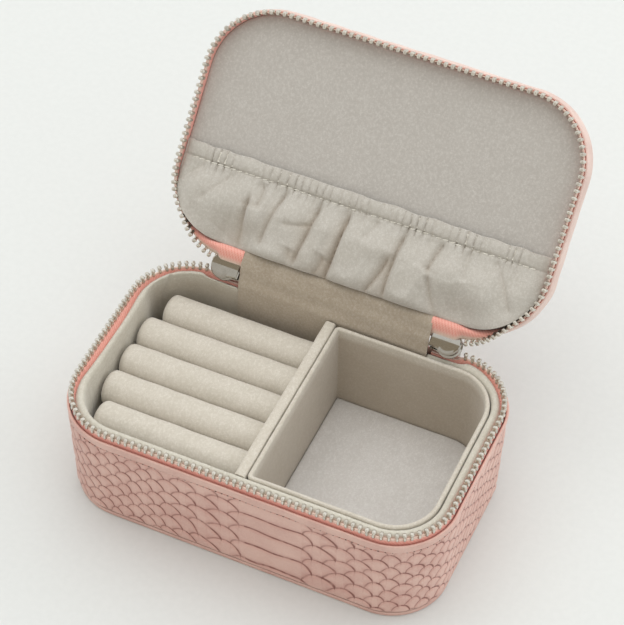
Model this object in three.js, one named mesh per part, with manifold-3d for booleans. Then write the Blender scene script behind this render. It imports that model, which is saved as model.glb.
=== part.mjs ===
// Zip-round travel jewellery case, standing open. Millimetres, +Z up, +X to the right, +Y to the back.
// The origin is the centre of the underside of the base. Layers of a wall are given by their offset
// from the zip's own outline: a positive offset is further out. The lid is drawn closed, on top of
// the base, inside a group that swings it open about its hinge.
import * as THREE from "three";
import Module from "manifold-3d";
import { mergeVertices } from "three/addons/utils/BufferGeometryUtils.js";

const wasm = await Module();
wasm.setup();

// ---- driving dimensions ----
const GAP = 0.3;
const CORNER_STEPS = 6;

// outline that the zip follows round the base and round the lid: half width, half depth, corner radius
const BASE_PLAN = { hx: 57.0, hy: 34.0, r: 17.1 };
const LID_PLAN = { hx: 57.0, hy: 34.3, r: 19.5 };

const ZIP_PLANE = 38.45;
const TOOTH_PITCH = 2.06;
const TOOTH_WIDTH = 1.15;
const TOOTH_HEIGHT = 1.0;
const RAIL_HEIGHT = 0.6;
const TEETH_HALF_THICKNESS = 0.85;
const TIP_CLEARANCE = 0.15;

const LEATHER = { outer: 1.15, inner: 0.35 };
const TAPE = { outer: 0.05, inner: -0.35 };
const BOARD = { outer: -0.05, underTape: -0.65, inner: -1.45 };
const LINING = { outer: -1.75, inner: -2.35, bead: -0.65 };

const BASE_LEATHER_TOP = 34.0;
const BASE_TAPE_BOTTOM = 29.3;
const BASE_TAPE_TOP = 36.4;
const BASE_LINING_TOP = 36.4;
const DRAFT_END = 28.0;
const DRAFT = 1.0;

const LID_LEATHER_BOTTOM = 42.8;
const LID_LEATHER_TOP = 48.5;
const LID_TAPE_BOTTOM = 40.5;
const LID_TAPE_TOP = 47.4;
const LID_TOP = 50.0;

// the zip stops short of the hinge, which is a strip of leather outside and of suede inside
const HINGE_CENTRE_X = -0.7;
const HINGE_HALF_WIDTH = 29.8;
const TAPE_END = 30.2;
const SLIDER_ZONE = 39.5;
const HINGE = { y: 36.0, z: 44.0 };
const LID_OPENING = THREE.MathUtils.degToRad(133);

const SLIDER_X = 34.6;
const SLIDER_PIVOT = { y: 35.0, z: 38.85 };
const SLIDER_CHAIN = { y: 34.1, z: 38.45 };
const SLIDER_TURN = THREE.MathUtils.degToRad(60);

const ROLL_COUNT = 5;
const ROLL_PITCH = 11.0;
const ROLL_CENTRE = { y: 0.3, z: 26.2 };
const ROLL_CORE_RADIUS = 4.6;
const ROLL_SLEEVE = { inner: 4.9, outer: 5.35 };
const ROLL_RIGHT_END = -2.6;
const ROLL_LEFT_END = -51.5;
const ROLL_CORNER_END = -48.5;

const DIVIDER = { left: -2.1, right: 0.8, halfLength: 30.2, top: 36.0 };
const TRAY = { left: 1.4, right: 53.1, halfDepth: 30.2, radius: 13.6, sharp: 1.6, wall: 1.3, top: 36.0 };
const INSERT_BOTTOM = 4.7;

// ---- materials ----
function finish(color, roughness, metalness) {
  return new THREE.MeshStandardMaterial({ color, roughness, metalness });
}
const leather = finish(0xc79a90, 0.5, 0);
const edgeLeather = finish(0xdcb9b0, 0.55, 0);
const coralTape = finish(0xd68a7c, 0.85, 0);
const nickel = finish(0xc9c8c4, 0.22, 1);
const suede = finish(0xb4ada0, 0.95, 0);
const suedePale = finish(0xcdc5b8, 0.95, 0);
const pocketCloth = finish(0xc3bcb0, 0.9, 0);
const greyboard = finish(0x9b958b, 0.9, 0);
const foam = finish(0xe6e2da, 0.95, 0);
const elasticWhite = finish(0xe4e0d8, 0.8, 0);

// ---- the closed bodies: rings of vertices joined by quads ----
function closedBody(points, triangles) {
  let volume = 0;
  for (const [a, b, c] of triangles) {
    volume += points[a].dot(new THREE.Vector3().crossVectors(points[b], points[c]));
  }
  const faces = volume < 0 ? triangles.map(([a, b, c]) => [a, c, b]) : triangles;
  const geometry = new THREE.BufferGeometry();
  geometry.setAttribute("position", new THREE.Float32BufferAttribute(points.flatMap((p) => p.toArray()), 3));
  geometry.setIndex(faces.flat());
  geometry.computeVertexNormals();
  return geometry;
}

// Joins equal loops one after another. "ends" says how the first and last meet: "wrap" or "cap".
function joinLoops(loops, ends) {
  const size = loops[0].length;
  const points = loops.flat();
  const triangles = [];
  const last = ends === "wrap" ? loops.length : loops.length - 1;
  for (let row = 0; row < last; row += 1) {
    const next = (row + 1) % loops.length;
    for (let i = 0; i < size; i += 1) {
      const j = (i + 1) % size;
      const [a, b, c, d] = [row * size + i, row * size + j, next * size + j, next * size + i];
      triangles.push([a, b, c], [a, c, d]);
    }
  }
  if (ends === "cap") {
    triangles.push(...capTriangles(loops[0], 0, true));
    triangles.push(...capTriangles(loops[loops.length - 1], (loops.length - 1) * size, false));
  }
  return closedBody(points, triangles);
}

// Fills a flat loop, drawn on the plane that it faces most squarely. Triangles turn the loop's own way.
function capTriangles(loop, offset, flipped) {
  const normal = new THREE.Vector3();
  loop.forEach((p, i) => normal.add(new THREE.Vector3().crossVectors(p, loop[(i + 1) % loop.length])));
  const size = [Math.abs(normal.x), Math.abs(normal.y), Math.abs(normal.z)];
  const axis = size.indexOf(Math.max(...size));
  const flat = loop.map((p) => {
    return new THREE.Vector2(p.getComponent((axis + 1) % 3), p.getComponent((axis + 2) % 3));
  });
  const way = Math.sign(THREE.ShapeUtils.area(flat)) * (flipped ? -1 : 1);
  return THREE.ShapeUtils.triangulateShape(flat, []).map(([a, b, c]) => {
    const same = Math.sign(THREE.ShapeUtils.area([flat[a], flat[b], flat[c]])) === way;
    return same ? [a + offset, b + offset, c + offset] : [a + offset, c + offset, b + offset];
  });
}

// A rectangle with its own radius at each corner, as a counter-clockwise loop from the back right.
function cornerLoop({ x0, x1, y0, y1, radii }, z) {
  const corners = [
    [x1, y1, -1, -1, 0],
    [x0, y1, 1, -1, 1],
    [x0, y0, 1, 1, 2],
    [x1, y0, -1, 1, 3],
  ];
  return corners.flatMap(([x, y, inX, inY, quarter], k) => {
    const radius = radii[k];
    return Array.from({ length: CORNER_STEPS + 1 }, (_, i) => {
      const angle = (quarter + i / CORNER_STEPS) * (Math.PI / 2);
      const [cx, cy] = [x + inX * radius, y + inY * radius];
      return new THREE.Vector3(cx + radius * Math.cos(angle), cy + radius * Math.sin(angle), z);
    });
  });
}

function planBox({ hx, hy, r }, offset) {
  const radius = r + offset;
  const [x, y] = [hx + offset, hy + offset];
  return { x0: -x, x1: x, y0: -y, y1: y, radii: [radius, radius, radius, radius] };
}

// A plate or block whose outline changes with height: levels are [offset, z].
function slab(plan, levels) {
  return joinLoops(levels.map(([offset, z]) => cornerLoop(planBox(plan, offset), z)), "cap");
}

function boxSlab(box, z0, z1) {
  return joinLoops([cornerLoop(box, z0), cornerLoop(box, z1)], "cap");
}

// ---- the zip's path: distance along the outline from the middle of the back, clockwise from above ----
function pathLength({ hx, hy, r }) {
  return 4 * (hx + hy - 2 * r) + 2 * Math.PI * r;
}

function pathPoint(plan, distance) {
  const { hx, hy, r } = plan;
  const [halfBack, side, quarter] = [hx - r, 2 * (hy - r), (Math.PI / 2) * r];
  const runs = [
    { length: halfBack, x: 0, y: hy, heading: 0 },
    { length: quarter, cx: hx - r, cy: hy - r, heading: 0 },
    { length: side, x: hx, y: hy - r, heading: -Math.PI / 2 },
    { length: quarter, cx: hx - r, cy: r - hy, heading: -Math.PI / 2 },
    { length: 2 * halfBack, x: hx - r, y: -hy, heading: Math.PI },
    { length: quarter, cx: r - hx, cy: r - hy, heading: -Math.PI },
    { length: side, x: -hx, y: r - hy, heading: Math.PI / 2 },
    { length: quarter, cx: r - hx, cy: hy - r, heading: Math.PI / 2 },
    { length: halfBack, x: r - hx, y: hy, heading: 0 },
  ];
  let left = distance;
  let index = 0;
  while (left > runs[index].length && index < runs.length - 1) {
    left -= runs[index].length;
    index += 1;
  }
  const run = runs[index];
  const heading = run.cx === undefined ? run.heading : run.heading - left / r;
  const normal = new THREE.Vector2(-Math.sin(heading), Math.cos(heading));
  if (run.cx === undefined) {
    return { x: run.x + left * Math.cos(heading), y: run.y + left * Math.sin(heading), normal };
  }
  return { x: run.cx + r * normal.x, y: run.cy + r * normal.y, normal };
}

// Places where a sweep needs a section: the ends of the straights and steps round each corner.
function pathStations(plan, from, to, extra = []) {
  const { hx, hy, r } = plan;
  const [halfBack, side, quarter] = [hx - r, 2 * (hy - r), (Math.PI / 2) * r];
  const starts = [halfBack, halfBack + quarter + side, 3 * halfBack + 2 * quarter + side];
  starts.push(3 * halfBack + 3 * quarter + 2 * side);
  const round = starts.flatMap((s) => {
    return Array.from({ length: CORNER_STEPS + 1 }, (_, i) => s + (quarter * i) / CORNER_STEPS);
  });
  const all = [from, ...round, ...extra, to].filter((s) => s >= from && s <= to).sort((a, b) => a - b);
  return all.filter((s, i) => i === 0 || s - all[i - 1] > 0.05);
}

// Sweeps a section of [offset, z] points along the path. sectionAt gives the section at a distance.
function sweep(plan, stations, sectionAt, ends) {
  const loops = stations.map((s) => {
    const { x, y, normal } = pathPoint(plan, s);
    return sectionAt(s).map(([offset, z]) => {
      return new THREE.Vector3(x + normal.x * offset, y + normal.y * offset, z);
    });
  });
  return joinLoops(loops, ends);
}

function ring(plan, section) {
  const length = pathLength(plan);
  const stations = pathStations(plan, 0, length - 0.1).filter((s) => s > 0.1 || s === 0);
  return sweep(plan, stations.slice(0, -1), () => section, "wrap");
}

function draftAt(z) {
  return z < DRAFT_END ? -DRAFT * (1 - z / DRAFT_END) : 0;
}

function drafted(section) {
  return section.map(([offset, z]) => [offset + draftAt(z), z]);
}

// Distances along a path of the two ends of a gap of this half width in the middle of the back.
function gapEnds(plan, halfWidth) {
  return [HINGE_CENTRE_X + halfWidth, pathLength(plan) + HINGE_CENTRE_X - halfWidth];
}

// ---- zip ----
// "away" is -1 for the base's half, which hangs down from the zip plane, and +1 for the lid's.
function zipTape(plan, near, far, nearBySlider) {
  const [from, to] = gapEnds(plan, TAPE_END);
  const [soft0, soft1] = gapEnds(plan, SLIDER_ZONE);
  const step = 0.5;
  const stations = pathStations(plan, from, to, [soft0, soft0 + step, soft1 - step, soft1]);
  const section = (s) => {
    const edge = s <= soft0 + 0.01 || s >= soft1 - 0.01 ? nearBySlider : near;
    return [[TAPE.inner, far], [TAPE.outer, far], [TAPE.outer, edge], [TAPE.inner, edge]];
  };
  return sweep(plan, stations, section, "cap");
}

// A comb: a low rail with teeth at a regular pitch, as one body.
function zipTeeth(plan, away) {
  const [from, to] = gapEnds(plan, SLIDER_ZONE);
  const count = Math.floor((to - from) / TOOTH_PITCH) - 1;
  const start = from + (to - from - count * TOOTH_PITCH) / 2 + (away < 0 ? 0 : TOOTH_PITCH / 2);
  const tip = ZIP_PLANE + away * TIP_CLEARANCE;
  const root = tip + away * TOOTH_HEIGHT;
  const foot = root + away * RAIL_HEIGHT;
  const stations = [];
  for (let i = 0; i < count; i += 1) {
    const middle = start + i * TOOTH_PITCH;
    stations.push(middle - TOOTH_WIDTH / 2, middle + TOOTH_WIDTH / 2);
  }
  const points = [];
  const triangles = [];
  const quad = (a, b, c, d) => triangles.push([a, b, c], [a, c, d]);
  const across = [TEETH_HALF_THICKNESS, -TEETH_HALF_THICKNESS];
  // six vertices at each station: foot, root and tip, each outside then inside
  stations.forEach((s) => {
    const { x, y, normal } = pathPoint(plan, s);
    for (const z of [foot, root, tip]) {
      across.forEach((d) => points.push(new THREE.Vector3(x + normal.x * d, y + normal.y * d, z)));
    }
  });
  quad(0, 1, 3, 2);
  stations.slice(1).forEach((_, k) => {
    const [a, b] = [6 * k, 6 * (k + 1)];
    quad(a, a + 6, a + 7, a + 1);
    quad(a, a + 2, b + 2, b);
    quad(a + 1, b + 1, b + 3, a + 3);
    if (k % 2 === 0) {
      quad(a + 2, a + 4, b + 4, b + 2);
      quad(a + 3, b + 3, b + 5, a + 5);
      quad(a + 4, a + 5, b + 5, b + 4);
      quad(a + 2, a + 3, a + 5, a + 4);
      quad(b + 2, b + 4, b + 5, b + 3);
    } else {
      quad(a + 2, a + 3, b + 3, b + 2);
    }
  });
  const end = 6 * (stations.length - 1);
  quad(end, end + 2, end + 3, end + 1);
  return closedBody(points, triangles);
}

// ---- base ----
function bottomPanel() {
  return slab(BASE_PLAN, [[-1.1, 0], [-0.6, 0.4], [-0.6, 1.5], [-0.9, 1.8]]);
}

function baseWallCover() {
  const bottom = 2.1;
  return ring(BASE_PLAN, drafted([
    [LEATHER.inner, bottom],
    [LEATHER.outer, bottom],
    [LEATHER.outer, DRAFT_END],
    [LEATHER.outer, BASE_LEATHER_TOP],
    [LEATHER.inner, BASE_LEATHER_TOP],
    [LEATHER.inner, DRAFT_END],
  ]));
}

function baseWallBoard() {
  const [bottom, top] = [2.1, 32.4];
  return ring(BASE_PLAN, drafted([
    [BOARD.inner, bottom],
    [BOARD.outer, bottom],
    [BOARD.outer, DRAFT_END],
    [BOARD.outer, BASE_TAPE_BOTTOM - GAP],
    [BOARD.underTape, BASE_TAPE_BOTTOM - GAP],
    [BOARD.underTape, top],
    [BOARD.inner, top],
    [BOARD.inner, DRAFT_END],
  ]));
}

function baseFloorBoard() {
  const offset = BOARD.inner - DRAFT - GAP;
  return slab(BASE_PLAN, [[offset, 2.1], [offset, 3.5]]);
}

function baseFloorLining() {
  const offset = LINING.inner - DRAFT - GAP;
  return slab(BASE_PLAN, [[offset, 3.85], [offset, 4.35]]);
}

// The suede wall rolls over the board in a bead, which is left off beside the sliders and the hinge.
function baseLiningWall() {
  const [bottom, low] = [3.9, 33.6];
  const top = BASE_LINING_TOP;
  const full = drafted([
    [LINING.inner, bottom],
    [LINING.outer, bottom],
    [LINING.outer, DRAFT_END],
    [LINING.outer, top - 3.3],
    [LINING.bead, top - 3.3],
    [LINING.bead, top - 0.8],
    [LINING.bead - 0.5, top],
    [LINING.inner + 0.5, top],
    [LINING.inner, top - 0.8],
    [LINING.inner, DRAFT_END],
  ]);
  const cut = drafted([
    [LINING.inner, bottom],
    [LINING.outer, bottom],
    [LINING.outer, DRAFT_END],
    [LINING.outer, low - 1.2],
    [LINING.outer + 0.1, low - 1.0],
    [LINING.outer + 0.1, low - 0.5],
    [LINING.outer, low - 0.2],
    [LINING.outer - 0.2, low],
    [LINING.inner, low - 0.2],
    [LINING.inner, DRAFT_END],
  ]);
  const [cut0, cut1] = gapEnds(BASE_PLAN, SLIDER_ZONE);
  const step = 0.5;
  const extra = [cut0, cut0 + step, cut1 - step, cut1];
  const stations = pathStations(BASE_PLAN, 0, pathLength(BASE_PLAN) - 0.1, extra).slice(0, -1);
  const section = (s) => (s <= cut0 + 0.01 || s >= cut1 - 0.01 ? cut : full);
  return sweep(BASE_PLAN, stations, section, "wrap");
}

// ---- what stands in the base ----
function ringBed() {
  const corner = 12.6;
  const square = 0.6;
  const box = { x0: -52.4, x1: -2.5, y0: -29.6, y1: 29.6, radii: [square, corner, corner, square] };
  return boxSlab(box, INSERT_BOTTOM, ROLL_CENTRE.z - ROLL_SLEEVE.outer - 0.4);
}

function rollPlace(index) {
  const row = index - (ROLL_COUNT - 1) / 2;
  const left = Math.abs(row) === (ROLL_COUNT - 1) / 2 ? ROLL_CORNER_END : ROLL_LEFT_END;
  return { y: ROLL_CENTRE.y - row * ROLL_PITCH, left, length: ROLL_RIGHT_END - left };
}

function turnedAlongX(profile, segments, { y, left }) {
  const geometry = mergeVertices(stripped(new THREE.LatheGeometry(profile, segments)));
  geometry.rotateZ(-Math.PI / 2);
  geometry.translate(left, y, ROLL_CENTRE.z);
  geometry.computeVertexNormals();
  return geometry;
}

function stripped(geometry) {
  geometry.deleteAttribute("normal");
  geometry.deleteAttribute("uv");
  return geometry;
}

function rollCore(index) {
  const place = rollPlace(index);
  const [inset, round] = [0.6, 1.2];
  const end = place.length - inset;
  const profile = [
    new THREE.Vector2(0, inset),
    new THREE.Vector2(ROLL_CORE_RADIUS - round, inset),
    new THREE.Vector2(ROLL_CORE_RADIUS, inset + round),
    new THREE.Vector2(ROLL_CORE_RADIUS, end - round),
    new THREE.Vector2(ROLL_CORE_RADIUS - round, end),
    new THREE.Vector2(0, end),
  ];
  return turnedAlongX(profile, 16, place);
}

function rollSleeve(index) {
  const place = rollPlace(index);
  const { inner, outer } = ROLL_SLEEVE;
  const profile = [
    new THREE.Vector2(inner, 0),
    new THREE.Vector2(outer, 0),
    new THREE.Vector2(outer, place.length),
    new THREE.Vector2(inner, place.length),
    new THREE.Vector2(inner, 0),
  ];
  return turnedAlongX(profile, 16, place);
}

function dividerBoard() {
  const { left, right, halfLength, top } = DIVIDER;
  const skin = 0.9;
  return block(left + skin, right - skin, -halfLength + GAP, halfLength - GAP, INSERT_BOTTOM, top - skin);
}

function block(x0, x1, y0, y1, z0, z1) {
  const geometry = new THREE.BoxGeometry(x1 - x0, y1 - y0, z1 - z0);
  geometry.translate((x0 + x1) / 2, (y0 + y1) / 2, (z0 + z1) / 2);
  return geometry;
}

// A sheet folded over the divider's board, open at the foot.
function dividerCover() {
  const { left, right, halfLength, top } = DIVIDER;
  const skin = 0.6;
  const bevel = 0.5;
  return prismAlongY([
    [left, INSERT_BOTTOM],
    [left + skin, INSERT_BOTTOM],
    [left + skin, top - skin],
    [right - skin, top - skin],
    [right - skin, INSERT_BOTTOM],
    [right, INSERT_BOTTOM],
    [right, top - bevel],
    [right - bevel, top],
    [left + bevel, top],
    [left, top - bevel],
  ], -halfLength, halfLength);
}

function prismAlongY(section, y0, y1) {
  return joinLoops([y0, y1].map((y) => section.map(([x, z]) => new THREE.Vector3(x, y, z))), "cap");
}

function prismAlongX(section, x0, x1) {
  return joinLoops([x0, x1].map((x) => section.map(([y, z]) => new THREE.Vector3(x, y, z))), "cap");
}

function trayBox(inset) {
  const { left, right, halfDepth, radius, sharp } = TRAY;
  const y = halfDepth - inset;
  const radii = [radius - inset, sharp - inset, sharp - inset, radius - inset];
  return { x0: left + inset, x1: right - inset, y0: -y, y1: y, radii };
}

function trayWall() {
  const { wall, top } = TRAY;
  return joinLoops([
    cornerLoop(trayBox(wall), INSERT_BOTTOM),
    cornerLoop(trayBox(0), INSERT_BOTTOM),
    cornerLoop(trayBox(0), top),
    cornerLoop(trayBox(wall), top),
  ], "wrap");
}

function trayFloor() {
  const box = trayBox(TRAY.wall + 0.1);
  const inset = GAP - 0.1;
  const tight = { x0: box.x0 + inset, x1: box.x1 - inset, y0: box.y0 + inset, y1: box.y1 - inset };
  return boxSlab({ ...tight, radii: box.radii }, INSERT_BOTTOM, 6.0);
}

// ---- hinge strips ----
// A band of even thickness along a line of [y, z] points.
function band(line, thickness, halfWidth) {
  const side = (sign) => line.map(([y, z], i) => {
    const [before, after] = [line[Math.max(i - 1, 0)], line[Math.min(i + 1, line.length - 1)]];
    const along = new THREE.Vector2(after[0] - before[0], after[1] - before[1]).normalize();
    return [y + (sign * along.y * thickness) / 2, z - (sign * along.x * thickness) / 2];
  });
  const section = [...side(1), ...side(-1).reverse()];
  return prismAlongX(section, HINGE_CENTRE_X - halfWidth, HINGE_CENTRE_X + halfWidth);
}

// Where a [y, z] point of the closed lid lies when the lid is open.
function opened([y, z]) {
  const [cos, sin] = [Math.cos(LID_OPENING), Math.sin(LID_OPENING)];
  const [dy, dz] = [y - HINGE.y, z - HINGE.z];
  return [HINGE.y + dy * cos + dz * sin, HINGE.z - dy * sin + dz * cos];
}

function hingeLining() {
  const inLid = [[34.6, 41.8], [33.9, 42.4], [32.9, 42.8]].map(opened);
  const line = [[30.75, 19.0], [31.1, 28.0], [31.15, 34.0], [31.5, 36.8], [32.4, 40.0], [33.5, 43.4]];
  return band([...line, ...inLid], 0.3, HINGE_HALF_WIDTH);
}

function spineLeather() {
  return band([[34.75, 34.3], [34.75, 38.0], [34.8, 41.0], [34.9, 43.9]], 0.7, HINGE_HALF_WIDTH - 0.4);
}

// ---- lid, drawn closed ----
function lidWallCover() {
  return ring(LID_PLAN, [
    [LEATHER.inner, LID_LEATHER_BOTTOM],
    [LEATHER.outer, LID_LEATHER_BOTTOM],
    [LEATHER.outer, LID_LEATHER_TOP],
    [LEATHER.inner, LID_LEATHER_TOP],
  ]);
}

function lidTopCover() {
  return slab(LID_PLAN, [[0.9, LID_TOP - 1.1], [1.15, LID_TOP - 0.7], [0.7, LID_TOP - 0.2], [-0.3, LID_TOP]]);
}

function lidTopBoard() {
  return slab(LID_PLAN, [[TAPE.inner, LID_TAPE_TOP + GAP], [TAPE.inner, LID_TOP - 1.1 - GAP]]);
}

function lidWallBoard() {
  const [bottom, top] = [44.7, LID_TAPE_TOP];
  const { underTape, inner } = BOARD;
  return ring(LID_PLAN, [[inner, bottom], [underTape, bottom], [underTape, top], [inner, top]]);
}

function lidFillerFoam() {
  return slab(LID_PLAN, [[LINING.outer, 44.7], [LINING.outer, LID_TAPE_TOP]]);
}

function lidLiningPanel() {
  return slab(LID_PLAN, [[BOARD.underTape - 0.3, 43.2], [BOARD.underTape, 43.5], [BOARD.underTape, 44.4]]);
}

// The pocket is a bulged sheet fixed along its two sides and its hinge edge, open at its top edge.
const POCKET = { halfWidth: 55.0, open: 8.4, closed: 32.4, panel: 42.9, depth: 2.6, thickness: 0.5 };
const POCKET_COLUMNS = 14;
const POCKET_ROWS = 4;

function pocketHalfWidth(y) {
  const { hy, hx, r } = LID_PLAN;
  const past = Math.max(y - (hy - r), 0);
  const inset = 1.6;
  return hx - r + Math.sqrt(Math.max((r - inset) ** 2 - past ** 2, 0));
}

function lidPocket() {
  const { open, closed, panel, depth, thickness } = POCKET;
  const rows = Array.from({ length: POCKET_ROWS + 1 }, (_, j) => open + ((closed - open) * j) / POCKET_ROWS);
  const loops = rows.map((y, j) => {
    const half = pocketHalfWidth(y);
    const fall = 1 - (j / POCKET_ROWS) ** 2;
    const under = [];
    const over = [];
    for (let i = 0; i <= POCKET_COLUMNS; i += 1) {
      const u = (2 * i) / POCKET_COLUMNS - 1;
      const rise = thickness + 0.1 + depth * fall * Math.sqrt(Math.max(1 - u ** 4, 0));
      under.push(new THREE.Vector3(u * half, y, panel - rise));
      over.push(new THREE.Vector3(u * half, y, panel - rise + thickness));
    }
    return [...under, ...over.reverse()];
  });
  return joinLoops(loops, "cap");
}

function pocketElastic() {
  const halfLength = 46.0;
  const { open, panel, depth } = POCKET;
  const z = panel - depth + 0.9;
  return block(-halfLength, halfLength, open + 0.4, open + 3.4, z, z + 0.5);
}

// ---- sliders: X along the zip towards its open mouth, Y out of the case, Z across the zip ----
const SLIDER = { length: 9.0, lobe: 3.75, tail: 2.5, channel: 1.2, plate: 0.8 };
const BRIDGE = { half: 2.6, opening: 1.8, top: 4.9, bar: 0.8, halfWidth: 0.6 };
const PULL = { pin: 3.3, armInside: 1.05, armOutside: 1.6, end: 21.0, half: 0.5 };

function toSolid(geometry) {
  const merged = mergeVertices(stripped(geometry), 1e-4);
  const index = merged.index.array;
  const positions = merged.attributes.position.array;
  const mesh = new wasm.Mesh({ numProp: 3, vertProperties: positions, triVerts: Uint32Array.from(index) });
  return new wasm.Manifold(mesh);
}

function toGeometry(solid) {
  const { vertProperties, triVerts } = solid.getMesh();
  const geometry = new THREE.BufferGeometry();
  geometry.setAttribute("position", new THREE.BufferAttribute(vertProperties, 3));
  geometry.setIndex(new THREE.BufferAttribute(triVerts, 1));
  geometry.computeVertexNormals();
  return geometry;
}

// The plate seen square on: a round lobe at the mouth that narrows to a straight tail.
function sliderShape(grow) {
  const half = SLIDER.length / 2;
  const lobe = SLIDER.lobe + grow;
  const centre = half - SLIDER.lobe;
  const shape = new THREE.Shape();
  const turn = THREE.MathUtils.degToRad(118);
  shape.moveTo(-half, -SLIDER.tail);
  shape.quadraticCurveTo(-1.6, -SLIDER.tail - 0.1, centre + lobe * Math.cos(turn), -lobe * Math.sin(turn));
  shape.absarc(centre, 0, lobe, -turn, turn, false);
  shape.quadraticCurveTo(-1.6, SLIDER.tail + 0.1, -half, SLIDER.tail);
  shape.closePath();
  return shape;
}

function extrudeAlongY(shape, y0, y1, curveSegments) {
  const geometry = new THREE.ExtrudeGeometry(shape, { depth: y1 - y0, bevelEnabled: false, curveSegments });
  geometry.rotateX(Math.PI / 2);
  geometry.translate(0, y1, 0);
  return geometry;
}

function sliderBody() {
  const { channel, plate, length } = SLIDER;
  const inner = extrudeAlongY(sliderShape(0), -channel - plate, -channel, 6);
  const outer = extrudeAlongY(sliderShape(0), channel, channel + plate, 6);
  const post = new THREE.CylinderGeometry(1.0, 1.0, 2 * channel + plate, 8);
  post.scale(1.5, 1, 1);
  post.translate(length / 2 - 2.4, 0, 0);
  const arch = new THREE.Shape();
  const { half, opening, top, bar } = BRIDGE;
  const foot = channel + plate / 2;
  arch.moveTo(-half, foot);
  arch.lineTo(-opening, foot);
  arch.lineTo(-opening, top - bar - 0.4);
  arch.lineTo(-opening + 0.4, top - bar);
  arch.lineTo(opening - 0.4, top - bar);
  arch.lineTo(opening, top - bar - 0.4);
  arch.lineTo(opening, foot);
  arch.lineTo(half, foot);
  arch.lineTo(half, top - 0.7);
  arch.lineTo(half - 0.7, top);
  arch.lineTo(-half + 0.7, top);
  arch.lineTo(-half, top - 0.7);
  arch.closePath();
  const bridge = new THREE.ExtrudeGeometry(arch, { depth: 2 * BRIDGE.halfWidth, bevelEnabled: false });
  bridge.translate(0, 0, -BRIDGE.halfWidth);
  const solids = [inner, outer, post, bridge].map(toSolid);
  return toGeometry(solids.reduce((a, b) => a.add(b)));
}

// A flat tab with a slot: its short top bar passes under the slider's bridge.
function pullTab() {
  const { pin, armInside, armOutside, end, half } = PULL;
  const top = pin - half;
  const neck = 8.2;
  const wide = 2.5;
  const tab = new THREE.Shape();
  tab.moveTo(-armOutside, top);
  tab.lineTo(armOutside, top);
  tab.lineTo(armOutside, neck);
  tab.quadraticCurveTo(armOutside + 0.2, neck + 4, wide, end - 4.5);
  tab.absarc(0, end - wide, wide, 0, Math.PI, false);
  tab.lineTo(-wide, end - 4.5);
  tab.quadraticCurveTo(-armOutside - 0.2, neck + 4, -armOutside, neck);
  tab.closePath();
  const slot = new THREE.Path();
  slot.moveTo(-armInside, pin + half);
  slot.lineTo(-armInside, neck - 1.3);
  slot.lineTo(armInside, neck - 1.3);
  slot.lineTo(armInside, pin + half);
  slot.closePath();
  tab.holes.push(slot);
  const settings = { depth: 2 * half, bevelEnabled: false, curveSegments: 6 };
  const geometry = new THREE.ExtrudeGeometry(tab, settings);
  geometry.translate(0, 0, -half);
  geometry.rotateY(Math.PI / 2);
  return mergeVertices(stripped(geometry), 1e-4);
}

// ---- assembly ----
const jewelleryCase = new THREE.Group();

function add(parent, name, geometry, material) {
  const mesh = new THREE.Mesh(geometry, material.clone());
  mesh.name = name;
  parent.add(mesh);
}

add(jewelleryCase, "bottom_panel", bottomPanel(), leather);
add(jewelleryCase, "base_wall_cover", baseWallCover(), leather);
add(jewelleryCase, "base_wall_board", baseWallBoard(), greyboard);
add(jewelleryCase, "base_floor_board", baseFloorBoard(), greyboard);
add(jewelleryCase, "base_floor_lining", baseFloorLining(), suede);
add(jewelleryCase, "base_lining_wall", baseLiningWall(), suede);
add(
  jewelleryCase,
  "base_zip_tape",
  zipTape(BASE_PLAN, BASE_TAPE_TOP, BASE_TAPE_BOTTOM, BASE_LEATHER_TOP + 0.1),
  coralTape,
);
add(jewelleryCase, "base_zip_teeth", zipTeeth(BASE_PLAN, -1), nickel);
add(jewelleryCase, "ring_bed", ringBed(), foam);
for (let i = 0; i < ROLL_COUNT; i += 1) {
  add(jewelleryCase, `ring_roll_core_${i + 1}`, rollCore(i), foam);
  add(jewelleryCase, `ring_roll_sleeve_${i + 1}`, rollSleeve(i), suedePale);
}
add(jewelleryCase, "divider_board", dividerBoard(), greyboard);
add(jewelleryCase, "divider_cover", dividerCover(), suede);
add(jewelleryCase, "tray_wall", trayWall(), suede);
add(jewelleryCase, "tray_floor", trayFloor(), suede);
add(jewelleryCase, "hinge_lining", hingeLining(), suede);
add(jewelleryCase, "spine_leather", spineLeather(), leather);

const lid = new THREE.Group();
lid.position.set(0, HINGE.y, HINGE.z);
lid.rotation.x = -LID_OPENING;
jewelleryCase.add(lid);
const lidClosed = new THREE.Group();
lidClosed.position.set(0, -HINGE.y, -HINGE.z);
lid.add(lidClosed);

add(lidClosed, "lid_wall_cover", lidWallCover(), edgeLeather);
add(lidClosed, "lid_top_cover", lidTopCover(), leather);
add(lidClosed, "lid_top_board", lidTopBoard(), greyboard);
add(lidClosed, "lid_wall_board", lidWallBoard(), greyboard);
add(lidClosed, "lid_filler_foam", lidFillerFoam(), foam);
add(lidClosed, "lid_lining_panel", lidLiningPanel(), suede);
add(lidClosed, "lid_pocket", lidPocket(), pocketCloth);
add(lidClosed, "pocket_elastic", pocketElastic(), elasticWhite);
add(
  lidClosed,
  "lid_zip_tape",
  zipTape(LID_PLAN, LID_TAPE_BOTTOM, LID_TAPE_TOP, LID_LEATHER_BOTTOM - 0.2),
  coralTape,
);
add(lidClosed, "lid_zip_teeth", zipTeeth(LID_PLAN, 1), nickel);

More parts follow.
